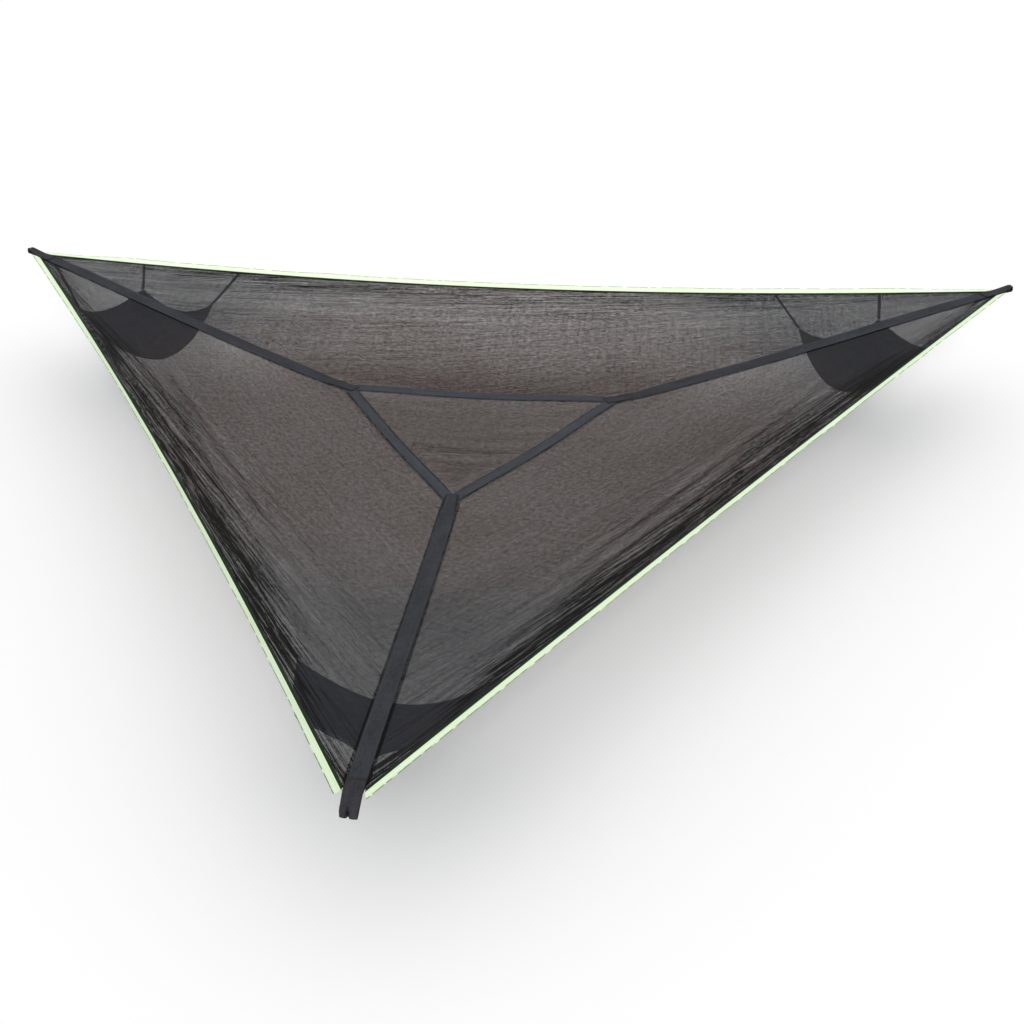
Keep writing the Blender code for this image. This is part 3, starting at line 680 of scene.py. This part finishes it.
def side_net(side):
    """One side panel of netting, drawn at the back."""
    shares = spread(1.0, DENSE_FROM, ROWS_INSIDE) + spread(DENSE_FROM, LAST_SHARE, ROWS_NEAR_EDGE)[1:]
    rows = [("centre", value) for value in (CENTRE_APOTHEM + SEAM_GAP, STRAP_OUT)]
    rows += [("share", value) for value in shares]
    rows += [("edge", value) for value in (HEM_WIDTH, HEM_SEEN, NET_REACH)]
    columns = ["left", *spread(-1.0, 1.0, PANEL_COLUMNS), "right"]

    def spot(column, row):
        """The end, the line u and the distances d and t of a point of the grid."""
        end = {"left": -1, "right": 1}.get(column, 0)
        u = end or column
        edge, (way, value) = edge_distance(u), row
        d = {"centre": value, "share": edge + (FLAT_APOTHEM - edge) * value, "edge": edge - value}[way]
        return end, u, d, (lap_place(end, d, 0.0).x if end else along_side(u, d))

    def place(column, row):
        end, u, d, t = spot(column, row)
        if end:
            return lap_place(end, d, NET_LIFT)
        if d < FLAT_APOTHEM:
            return Vector((t, d, centre_height(d, t) + NET_LIFT))
        clear = ease(edge_distance(u) - d, HEM_WIDTH, 0.05) * ease(1 - abs(u), 0.0, 0.06)
        clear *= ease(d, FLAT_APOTHEM, FLAT_APOTHEM + 0.08)
        ridge = net_pull(side, t, d)[1] * RIDGE_HEIGHT
        wave = noise((t * 2.1, d * 6.0, 5.0 + SIDES[side])) * WAVE_HEIGHT * FOLD_SHARE[side]
        return Vector((t, d, side_height(u, d, FOLD_SHARE[side]) + NET_LIFT + clear * (ridge + wave)))

    bm, spots = sheet(columns, rows, place, lambda column, row: spot(column, row)[3:1:-1])
    gather = bm.verts.layers.float["gather"]
    strong = 1 if FAN_REACH[side][1] >= FAN_REACH[side][0] else -1
    for vert, (t, d) in spots.items():
        pull, ridge = net_pull(side, t, d)
        u = max(-1.0, min(1.0, t / (ROOT3 * (d - LANE))))
        rim = exp(-((edge_distance(u) - d) / RIM_REACH) ** 2) * RIM_PULL[side]
        vert[gather] = min(0.95, SLACK_PULL[side] + pull * (0.70 + 0.30 * max(-1.0, min(1.0, ridge))) + rim)
    map_points(bm, {vert: fan_place(t, d, strong) for vert, (t, d) in spots.items()}, "fan")
    for sign in (-1, 1):
        outwards = corner_ways(sign)[0]
        trim(bm, outwards * BED_CUT, outwards)
    return name_mesh(bm, f"net_cloth_{side}", NET_BACK if side == "back" else NET_SIDE)


for side, angle in SIDES.items():
    lay_cloth(side_net(side), NET_CLOTH, angle, "net_side", f"net_{side}")

# %% [markdown]
# ## The centre panel
# The net inside the centre straps is a triangle. A square grid could be cut to shape, but that leaves
# slivers along two sides. A three-sided circle with its edges subdivided gives an even triangular grid,
# and each point then drops to the height of the hanging cloth.

# %% Build the centre panel
CENTRE_CUTS = 41


def centre_net():
    bm = bmesh.new()
    gather = bm.verts.layers.float.new("gather")
    bmesh.ops.create_circle(bm, cap_ends=True, segments=3, radius=2 * (CENTRE_APOTHEM - SEAM_GAP),
                            matrix=turned(180))
    bmesh.ops.subdivide_edges(bm, edges=bm.edges, cuts=CENTRE_CUTS, use_grid_fill=True)
    bmesh.ops.triangulate(bm, faces=[face for face in bm.faces if len(face.verts) > 4])
    ways = [turned(90 + angle) @ Vector((1, 0, 0)) for angle in SIDES.values()]
    for vert in bm.verts:
        d, way = max((vert.co.dot(way), index) for index, way in enumerate(ways))
        t = vert.co.dot(turned(-90) @ ways[way])
        clear = ease(STRAP_IN - d, 0.0, 0.06)
        crease = noise((vert.co.x * 2.0, vert.co.y * 14.0, 2.5))
        ridge = (1 - 3 * abs(crease)) * ease(-vert.co.y, -0.05, 0.15)
        vert.co.z = centre_height(d, t) + NET_LIFT + clear * 0.003 * ridge
        vert[gather] = 0.08 + max(0.0, clear * ridge * 0.22)
    face_up(bm)
    for layer, stretch in (("cloth", 1), ("fan", 25)):
        map_points(bm, {vert: (vert.co.x, vert.co.y * stretch) for vert in bm.verts}, layer)
    return name_mesh(bm, "net_cloth_centre", NET_CENTRE)


lay_cloth(centre_net(), NET_CLOTH, 0, "net_centre", "net_centre")

# %% [markdown]
# ## Hems and edge tapes
# A dark binding is folded round the net's edge, and a pale tape stands out of it. Both follow the
# edge's curve. The binding is slightly puckered by its stitching, and the tape has a soft ripple along
# its free edge, as flat tape has when it is pulled from both ends. The photo shows the left tape much
# narrower than the right one, so it is turned up there, and the back tape's ends lie lower. A curve
# with a bevel could draw both, but it gives no hold on each ply, so they are extruded as bands.

# %% Bands along an edge
EDGE_STATIONS, EDGE_REACH = 150, 1.02


def edge_place(u, out, lift):
    """A point out from the net's edge, which moves straight away from the side."""
    edge = edge_distance(u)
    line = along_side(u, edge) / along_side(1, edge + out)
    return Vector((along_side(u, edge), edge + out, side_height(line, edge + out) + lift))


def edge_band(section, place, middle, slant):
    """A band that runs past both ends of the edge, and is cut off at a slant beside the spokes."""
    bm = band(spread(-EDGE_REACH, EDGE_REACH, EDGE_STATIONS), section, place,
              lambda u, out, lift: (u * SIDE / 2, out - middle))
    for sign in (-1, 1):
        outwards, inwards = corner_ways(sign)
        cut = trim(bm, outwards * EDGE_RADIUS + inwards * (SPOKE_HALF + SIDE_GAP),
                   outwards * sin(slant) - inwards * cos(slant))
        bmesh.ops.edgeloop_fill(bm, edges=[item for item in cut if isinstance(item, bmesh.types.BMEdge)])
    bmesh.ops.recalc_face_normals(bm, faces=bm.faces)
    return bm


print("an edge has", EDGE_STATIONS + 1, "stations")

# %% Build the hems
RIB_WIDTH, PUCKER = 0.0015, 0.0004


def hem_band(side):
    """Two plies that are joined by a narrow stitched rib. A ply is drawn from its inner face, 0, to its
    outer face, 1, and back."""
    top, low = SLOT_GAP, -NET_PLY - SLOT_GAP
    rib_out = -TAPE_TUCK - SIDE_GAP
    ply = [(rib_out, 0), (-0.0003, 0), (0.0, 0.5), (-0.0006, 1), (-0.0030, 1), (-0.0055, 1),
           (-HEM_SEEN + 0.0006, 1), (-HEM_SEEN, 0.5), (-HEM_SEEN + 0.0003, 0), (rib_out - RIB_WIDTH, 0)]
    section = [(x, top + y * HEM_PLY) for x, y in ply] + [(x, low - y * HEM_PLY) for x, y in reversed(ply)]

    def place(u, out, lift):
        pucker = abs(noise((u * 60, out * 40, SIDES[side]))) * PUCKER
        outer = (lift > top + HEM_PLY / 4) - (lift < low - HEM_PLY / 4)
        return edge_place(u, out, lift + pucker * outer)

    bm = edge_band(section, place, -HEM_WIDTH / 2, 0.0)
    return name_mesh(bm, f"hem_binding_{side}", HEM, BAND_SHARP)


print("a hem's plies are", HEM_PLY * 1000, "mm thick")

# %% Build the tapes, and put both in place
BACK_TURN, LEFT_TURN, TAPE_SLANT = -0.36, 0.58, radians(15)
RIPPLE, FINE_RIPPLE, SWAY = 0.0026, 0.0009, 0.0012


def tape_turn(side, u):
    """How far the tape is turned up about the hem's edge, in radians."""
    if side == "back":
        return BACK_TURN * ease(abs(u), 0.80, 0.98)
    if side == "left":
        return LEFT_TURN * (1 - ease(abs(u + 0.2), 0.45, 1.15))
    return 0.0


def tape_band(side):
    """The pale tape. A ripple and a turn lift its free part, outside the hem."""
    columns = spread(-TAPE_TUCK, TAPE_WIDTH, 8)
    low, rounding = -TAPE_PLY, 0.0005
    top = [(x, 0.0) for x in (*columns[1:-1], TAPE_WIDTH - rounding)]
    section = [(columns[0], low / 2), *top, (TAPE_WIDTH, low / 2), *((x, low) for x, y in reversed(top))]
    seed = SIDES[side] + 40.0

    def place(u, out, lift):
        free = ease(out, 0.002, TAPE_WIDTH)
        free *= 1 - ease(abs(u), 0.93, 0.99)
        lift += noise((u * 9.0, 0.0, seed)) * RIPPLE * free
        lift += noise((u * 31.0, 1.0, seed)) * FINE_RIPPLE * free
        turn, outside = tape_turn(side, u), max(0.0, out)
        out += noise((u * 5.0, 4.0, seed)) * SWAY * free - outside * (1 - cos(turn))
        return edge_place(u, out, lift + outside * sin(turn))

    bm = edge_band(section, place, TAPE_WIDTH / 2, TAPE_SLANT)
    return name_mesh(bm, f"tape_{side}", TAPE, BAND_SHARP)


for side, angle in SIDES.items():
    settle(hem_band(side), angle, "hem", f"hem_{side}")
    settle(tape_band(side), angle, "edge_tape", f"edge_tape_{side}")

# %% [markdown]
# ## Webbing straps
# Three short straps make the centre triangle, and three long spokes run from its corners to the loops.
# They are flat bands with rounded edges. The two front centre straps are narrower between their ends,
# as in the photograph. A spoke narrows at its inner end, and it climbs over the centre straps there,
# because it is sewn on top of them. Its outer end is drawn in by the loop's pull. A stretched cube
# would do for a straight strap, but these follow the bed's curve, so they are bands too.

# %% Build the centre straps
STRAP_ROLL = {"back": 0.0040}
STRAP_SHARE = {"back": 1.0, "left": 0.84, "right": 0.90}
STRAP_WAVE = 0.0009


def centre_strap(side):
    seed = SIDES[side] + 7.0

    def place(share, across, up):
        pulled = 1 - (1 - STRAP_SHARE[side]) * (1 - ease(abs(share), 0.90, 1.0))
        d = CENTRE_APOTHEM + across * pulled * STRAP_HALF
        t = share * (ROOT3 * d - 2 * SIDE_GAP)
        wave = noise((share * 5.0, across * 0.6, seed)) * STRAP_WAVE * (1 - abs(share) ** 3)
        lift = PLY_GAP + WEBBING / 2 * (1 + up)
        lift += STRAP_ROLL.get(side, 0.0) * (1 + across) / 2 * (1 - ease(abs(share), 0.55, 0.95))
        return Vector((t, d, centre_height(CENTRE_APOTHEM, t) + lift + max(0.0, wave)))

    bm = band(spread(-1.0, 1.0, 48), flat_section(8), place,
              lambda share, across, up: (share * ROOT3 * CENTRE_APOTHEM, across * STRAP_HALF))
    return name_mesh(bm, f"centre_strap_webbing_{side}", CENTRE_STRAP, BAND_SHARP)


for side, angle in SIDES.items():
    settle(centre_strap(side), angle, "centre_strap", f"centre_strap_{side}")

# %% Build the spokes
SPOKE_ROLL = {"front": 0.0, "right": 0.0042, "left": -0.0042}
CORNER_PULL, SPOKE_CURL = 0.11, 0.0010
PULL_START = {"front": 0.60, "right": 1.74, "left": 1.74}
SPOKE_INNER = 2 * CENTRE_APOTHEM - SPOKE_LAP
CLIMB_END, CLIMB_TOP = FLAT_RADIUS + SPOKE_LAP, FLAT_RADIUS + 2 * SPOKE_LAP


def spoke_half(radius):
    """Half the width of a spoke before the loop's pull draws it in."""
    grown = min(1.0, (radius - SPOKE_INNER) / SPOKE_TAPER)
    return SPOKE_END_HALF + (SPOKE_HALF - SPOKE_END_HALF) * grown


def spoke(corner):
    seed, roll = CORNERS[corner] + 17.0, SPOKE_ROLL[corner]
    stations = [*spread(SPOKE_INNER, CLIMB_END, 12), *spread(CLIMB_END, CLIMB_TOP, 6)[1:],
                *spread(CLIMB_TOP, BED_CUT, 90)[1:]]

    def place(radius, across, up):
        half = spoke_half(radius) * (1 - CORNER_PULL * ease(radius, PULL_START[corner], BED_CUT - 0.08))
        lift = PLY_GAP + (CROSSING_LIFT - PLY_GAP) * (1 - ease(radius, CLIMB_END, CLIMB_TOP))
        free = ease(radius, CLIMB_END, CLIMB_END + 0.15) * (1 - ease(radius, BED_CUT - 0.2, BED_CUT - 0.06))
        curl = abs(across) ** 2 * SPOKE_CURL + noise((radius * 7.0, across, seed)) * STRAP_WAVE
        curl += (abs(roll) + roll * across) / 2
        return Vector((across * half, -radius,
                       spoke_height(radius) + lift + WEBBING / 2 * (1 + up) + free * max(0.0, curl)))

    bm = band(stations, flat_section(10), place,
              lambda radius, across, up: (radius, across * SPOKE_HALF))
    return name_mesh(bm, f"spoke_webbing_{corner}", SPOKE, BAND_SHARP)


for corner, angle in CORNERS.items():
    settle(spoke(corner), angle, "spoke_strap", f"spoke_strap_{corner}")

# %% [markdown]
# ## Corner loops
# A loop is one length of webbing. Its two ends are sewn above and below the corner, and its middle is
# the eye that the hanging hardware goes through. The pull of that hardware has gathered the eye's end,
# so it is narrower there and folded lengthwise. It could be two pieces that meet at the flex line, as
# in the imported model. But webbing bends without a gap, so we make it in one piece and let it bend
# smoothly across that line.

# %% The flex line
STACK_MIDDLE = 0.0006


def corner_frame():
    """The front loop's flex line: X runs out along the spoke, Y up and Z along the line."""
    tilt = atan(CENTRE_SAG / (CORNER_RADIUS - FLAT_RADIUS))
    out = Vector((0, -cos(tilt), sin(tilt)))
    up = Vector((0, sin(tilt), cos(tilt)))
    middle = Vector((0, -FLEX_RADIUS, spoke_height(FLEX_RADIUS))) + up * STACK_MIDDLE
    return axes_matrix(out, up, out.cross(up), middle)


print("the front flex line lies at", corner_frame().to_translation())

# %% The loop from the side
TAB_HALF, TAB_START = 0.0042, -0.0526
EYE_LENGTH, EYE_HALF, EYE_ROUND = 0.088, 0.009, 0.005


def loop_line():
    """The webbing's middle line from the side, as points (x, y) with the upper half first."""
    half, turn_start = WEBBING / 2, EYE_LENGTH - EYE_ROUND
    high, root, top, bend = TAB_HALF - half, half + 0.0002, EYE_HALF - half, EYE_ROUND - half
    upper = [(x, high + (root - high) * ease(x, -0.011, -0.001))
             for x in spread(TAB_START, -0.012, 9) + spread(-0.011, 0.0, 8)]
    upper += [(x, root + (top - root) * ease(x, 0.004, 0.100) * 1.13)
              for x in spread(0.003, turn_start, 22)]
    upper += [(turn_start + bend * sin(radians(a)), top - bend + bend * cos(radians(a)))
              for a in spread(12, 90, 7)]
    return upper + [(EYE_LENGTH - half, 0.0)] + [(x, -y) for x, y in reversed(upper)]


print("a loop has", len(loop_line()), "stations")

# %% Build the loops
BEND = (-0.009, 0.014)
EYE_END_SHARE = {"front": 0.88, "left": 0.60, "right": 0.62}
NOTCH_WIDTH, NOTCH_DEPTH, CREASE_DEPTH = 0.30, 0.017, 0.0060
LOOP_YAW = {"front": -0.080}


def loop(corner):
    line = [Vector((x, y, 0)) for x, y in loop_line()]
    along = [0.0]
    for before, after in zip(line, line[1:]):
        along.append(along[-1] + (after - before).length)

    def place(station, across, up):
        before, after = line[max(0, station - 1)], line[min(len(line) - 1, station + 1)]
        way = (after - before).normalized()
        point = line[station] + Vector((-way.y, way.x, 0)) * (up * WEBBING / 2)
        reach = ease(point.x, 0.012, EYE_LENGTH)
        width = SPOKE_HALF * (1 - CORNER_PULL)
        width *= 1 - (1 - EYE_END_SHARE[corner]) * min(1.0, max(0.0, point.x) / EYE_LENGTH)
        notch = max(0.0, 1 - abs(across - 0.08) / NOTCH_WIDTH) * reach
        point.x -= NOTCH_DEPTH * notch ** 1.3 + (0.0022 * across + 0.0060 * abs(across) ** 4) * reach
        point.y += (0.0016 * (1 - across * across) * reach
                    - CREASE_DEPTH * notch * ease(point.x, 0.02, 0.06))
        point.z = across * width + LOOP_YAW.get(corner, 0.0) * max(0.0, point.x)
        return point

    bm = band(range(len(line)), flat_section(24), place,
              lambda station, across, up: (along[station], across * SPOKE_HALF))
    piece = name_mesh(bm, f"loop_webbing_{corner}", LOOP, BAND_SHARP)
    piece.data.transform(corner_frame())
    return piece


for corner, angle in CORNERS.items():
    settle(loop(corner), angle, "loop_tab", f"loop_tab_{corner}", f"loop_eye_{corner}",
           body=f"loop_{corner}", bend=[corner_frame() @ Vector((x, 0, 0)) for x in BEND])

# %% [markdown]
# ## Stitching that shows
# Where straps carry load they are sewn through with dense rows of thread. The lighter seams are only
# drawn in the materials, but these rows stand proud of the webbing, so they are shapes. Each stitch is a
# small ball that is drawn out along the thread. A row can lie along its line, or, as a close zigzag,
# across it. The loops' ends have a crossed box of stitches, and a spoke's inner end has a zigzag round
# its edge. The thread is near black, so these rows are partly real stitching and partly a painted
# shadow line along the ply ends and the spoke's end.

# %% One row of stitches
STITCH_HALF, STITCH_STEP, THREAD_HALF = 0.0014, 0.0036, 0.00042
ZIGZAG_HALF, WIDE_ZIGZAG, ZIGZAG_STEP = 0.0020, 0.0034, 0.0010


def stitch_row(bm, start, end, up, zigzag=0.0):
    """Stitches from start to end on a face whose normal is up; zigzag is the half width of a zigzag row."""
    way = (end - start).normalized()
    side = up.cross(way)
    step, long_way = (ZIGZAG_STEP, side) if zigzag else (STITCH_STEP, way)
    count = max(1, round((end - start).length / step))
    for i in range(count + 1):
        slant = way * (0.25 if i % 2 else -0.25) if zigzag else Vector()
        matrix = axes_matrix((long_way + slant).normalized() * (zigzag or STITCH_HALF),
                             up.cross(long_way) * THREAD_HALF, up * THREAD_HALF, start.lerp(end, i / count))
        bmesh.ops.create_icosphere(bm, subdivisions=1, radius=1.0, matrix=matrix)


print("stitches are", round(STITCH_STEP * 1000, 1), "mm apart")


# %% Stitch the corners, and the spokes to the centre straps
def corner_stitches():
    """A crossed box on each face of the loop's sewn part."""
    bm = bmesh.new()
    inner, outer, side = TAB_START + 0.0090, -0.0125, 0.0175
    bar, bar_side = TAB_START + 0.0034, 0.0212
    places = [(inner, -side), (inner, side), (outer, side), (outer, -side)]
    places += [(bar, -bar_side), (bar, bar_side)]
    for face in (1, -1):
        up = Vector((0, face, 0))
        spots = [Vector((x, face * TAB_HALF, z)) for x, z in places]
        for start, end in ((0, 1), (1, 2), (2, 3), (3, 0), (0, 2), (1, 3)):
            stitch_row(bm, spots[start], spots[end], up)
        stitch_row(bm, spots[4], spots[5], up, WIDE_ZIGZAG)
    bmesh.ops.transform(bm, matrix=corner_frame(), verts=bm.verts)
    return bm


def centre_stitches():
    """A zigzag round the inner end of a spoke, over the centre straps."""
    bm = bmesh.new()
    inset, up = 0.0024, Vector((0, 0, 1))

    def spot(radius, across):
        return Vector((across * (spoke_half(radius) - inset), -radius,
                       spoke_height(radius) + CROSSING_LIFT + WEBBING))

    end, rear = SPOKE_INNER + inset, CLIMB_END - 0.004
    for start, stop in (((end, -1), (end, 1)), ((end, -1), (rear, -1)), ((end, 1), (rear, 1))):
        stitch_row(bm, spot(*start), spot(*stop), up, ZIGZAG_HALF)
    stitch_row(bm, spot(rear, -0.9), spot(rear, 0.9), up)
    return bm


for corner, angle in CORNERS.items():
    settle(name_mesh(corner_stitches(), f"stitching_corner_{corner}", THREAD), angle, "loop_tab")
    settle(name_mesh(centre_stitches(), f"stitching_centre_{corner}", THREAD), angle, "spoke_strap")

# %% [markdown]
# ## Gear slings and their ties
# A sling is a four-cornered cloth. A simulation could hang it, but it would have to be steered to the
# outline in the photograph. So each of its edges gets its own hanging curve, and the cloth between them
# is a blend of the four curves. Folds run from each tip, where a tie pulls it up. One side hangs
# slacker, and the front sling bulges towards its corner and its slack side. The ties are narrow tapes.
# When a sling is lifted from below they go slack, so each tie follows the bed at its upper end and the
# sling at its lower one.

# %% The tips and edges of a sling
TIPS = {("slack", "near"): (0.421, 0.179, -0.116), ("slack", "far"): (0.723, 0.275, -0.141),
        ("tight", "near"): (0.421, 0.157, -0.095), ("tight", "far"): (0.723, 0.264, -0.134)}
MIDDLES = {"near": (0.389, 0.0, -0.160), "far": (0.745, 0.0, -0.276)}
SAGS = {"slack": 0.062, "tight": 0.016}
TIGHT_SIDES = {"front": 1, "right": -1, "left": 1}


def corner_point(inwards, sideways, height, side=1):
    """A point at a distance inwards from the front corner, and sideways from its spoke."""
    return Vector((side * sideways, inwards - CORNER_RADIUS, height))


def hanging_edge(start, middle, end, share):
    """A point of the curve from start through middle to end."""
    bend = 2 * middle - (start + end) / 2
    return start * (1 - share) ** 2 + bend * 2 * share * (1 - share) + end * share ** 2


def side_of(corner, hang):
    return TIGHT_SIDES[corner] if hang == "tight" else -TIGHT_SIDES[corner]


def sling_tips(corner):
    return {key: corner_point(*tip, side_of(corner, key[0])) for key, tip in TIPS.items()}


print("a sling hangs from", len(TIPS), "tips")

# %% Build the slings
SLING_CLOTH = 0.0008
NEAR_BULGE, SLACK_BULGE = {"front": 0.045}, {"front": 0.027}
TIP_FOLD, TIP_FOLD_REACH, CLOTH_WAVE = 0.006, 0.16, 0.008


def near_bulge(across):
    """A bulge of the near edge towards the corner, and a hollow beside it."""
    return exp(-((across - 0.40) / 0.09) ** 2) - 0.45 * exp(-((across - 0.18) / 0.13) ** 2)


def sling(corner):
    tips = sling_tips(corner)

    def side_edge(hang, inwards):
        near, far = tips[hang, "near"], tips[hang, "far"]
        return hanging_edge(near, (near + far) / 2 - Vector((0, 0, SAGS[hang])), far, inwards)

    def crossing(end, across):
        """A point of the near or far edge, and of the straight line between its tips."""
        slack, tight = tips["slack", end], tips["tight", end]
        return hanging_edge(slack, corner_point(*MIDDLES[end]), tight, across), slack.lerp(tight, across)

    def place(across, inwards):
        near_edge, near_line = crossing("near", across)
        far_edge, far_line = crossing("far", across)
        sides = side_edge("slack", inwards).lerp(side_edge("tight", inwards), across)
        point = near_edge.lerp(far_edge, inwards) + sides - near_line.lerp(far_line, inwards)
        calm = min(1.0, 12 * min(across, 1 - across, inwards, 1 - inwards) + 0.25)
        fold = noise((across * 5, inwards * 2.2, CORNERS[corner] + 3.0)) * CLOTH_WAVE
        for number, tip in enumerate(tips.values()):
            away = point - tip
            rays = cos(atan2(away.y, away.x) * 11 + number + 2 * away.length)
            fold += exp(-away.length / TIP_FOLD_REACH) * rays * TIP_FOLD
        point.y -= NEAR_BULGE.get(corner, 0.0) * near_bulge(across) * (1 - inwards) ** 2
        slack_bulge = TIGHT_SIDES[corner] * SLACK_BULGE.get(corner, 0.0)
        point.x -= slack_bulge * (1 - across) ** 2 * sin(pi * inwards)
        return point + Vector((0, 0, fold * calm))

    cells = [0.0, 0.004, 0.024, 0.030, *spread(0.06, 0.94, 40), 0.970, 0.976, 0.996, 1.0]
    bm = sheet(cells, cells, place, lambda across, inwards: (across * 0.50, inwards * 0.34))[0]
    return name_mesh(bm, f"sling_cloth_{corner}", SLING)


for corner, angle in CORNERS.items():
    lay_cloth(sling(corner), SLING_CLOTH, angle, "gear_sling", f"gear_sling_{corner}",
              body=f"sling_{corner}")

# %% Build the ties
TIE_WIDTH, TIE_PLY, TIE_BOW = 0.012, 0.001, 0.008
TIE_TWIST = dict(zip(TIPS, (0.2, -0.3, 0.9, 0.3)))
TIE_ALONG, CORNER_TIE_TOP = {"near": 0.434, "far": 0.825}, (0.125, 0.018)


def tie_top(hang, end, side):
    """The upper end of a tie, and the level direction of its width there."""
    if (hang, end) == ("tight", "near"):
        inwards, sideways = CORNER_TIE_TOP
        height = spoke_height(CORNER_RADIUS - inwards) - NET_PLY - PLY_GAP - TIE_PLY / 2
        return corner_point(inwards, sideways, height, side), Vector((1, 0, 0))
    line = side * (SIDE / 2 - TIE_ALONG[end]) / along_side(1, APOTHEM)
    under = NET_PLY + SLOT_GAP + HEM_PLY + PLY_GAP + TIE_PLY / 2
    turn = turned(-120 * side)
    return turn @ edge_place(line, -HEM_WIDTH / 2, -under), turn @ Vector((1, 0, 0))


def number_for(word):
    """A small number that stays the same for a word."""
    return sum(ord(letter) * i for i, letter in enumerate(word, 1)) % 97 / 7


def tie(corner, hang, end, tip):
    top, wide = tie_top(hang, end, side_of(corner, hang))
    foot = tip + Vector((0, 0, PLY_GAP + TIE_PLY / 2))
    down = (foot - top).normalized()
    face = down.cross(wide).normalized()
    seed = number_for(corner + hang + end)

    def place(share, across, up):
        bow = sin(pi * share) * TIE_BOW * noise((share * 2, 0.5, seed))
        twist = sin(pi * share) * (TIE_TWIST[hang, end] + 0.3 * noise((share, 8.5, seed)))
        turn_by = Matrix.Rotation(twist, 3, down)
        return (top.lerp(foot, share) + turn_by @ wide * (across * TIE_WIDTH / 2)
                + turn_by @ face * (up * TIE_PLY / 2) + face * bow)

    bm = band(spread(0.0, 1.0, 20), flat_section(4, 0.04), place,
              lambda share, across, up: (share * (foot - top).length, across * TIE_WIDTH / 2))
    return name_mesh(bm, f"tie_{corner}_{hang}_{end}", TIE, BAND_SHARP), top, foot


for corner, angle in CORNERS.items():
    for (hang, end), tip in sling_tips(corner).items():
        piece, *bend = tie(corner, hang, end, tip)
        settle(piece, angle, "sling_tie", f"sling_tie_{corner}_{hang}_{end}",
               body=f"sling_{corner}", bend=bend)
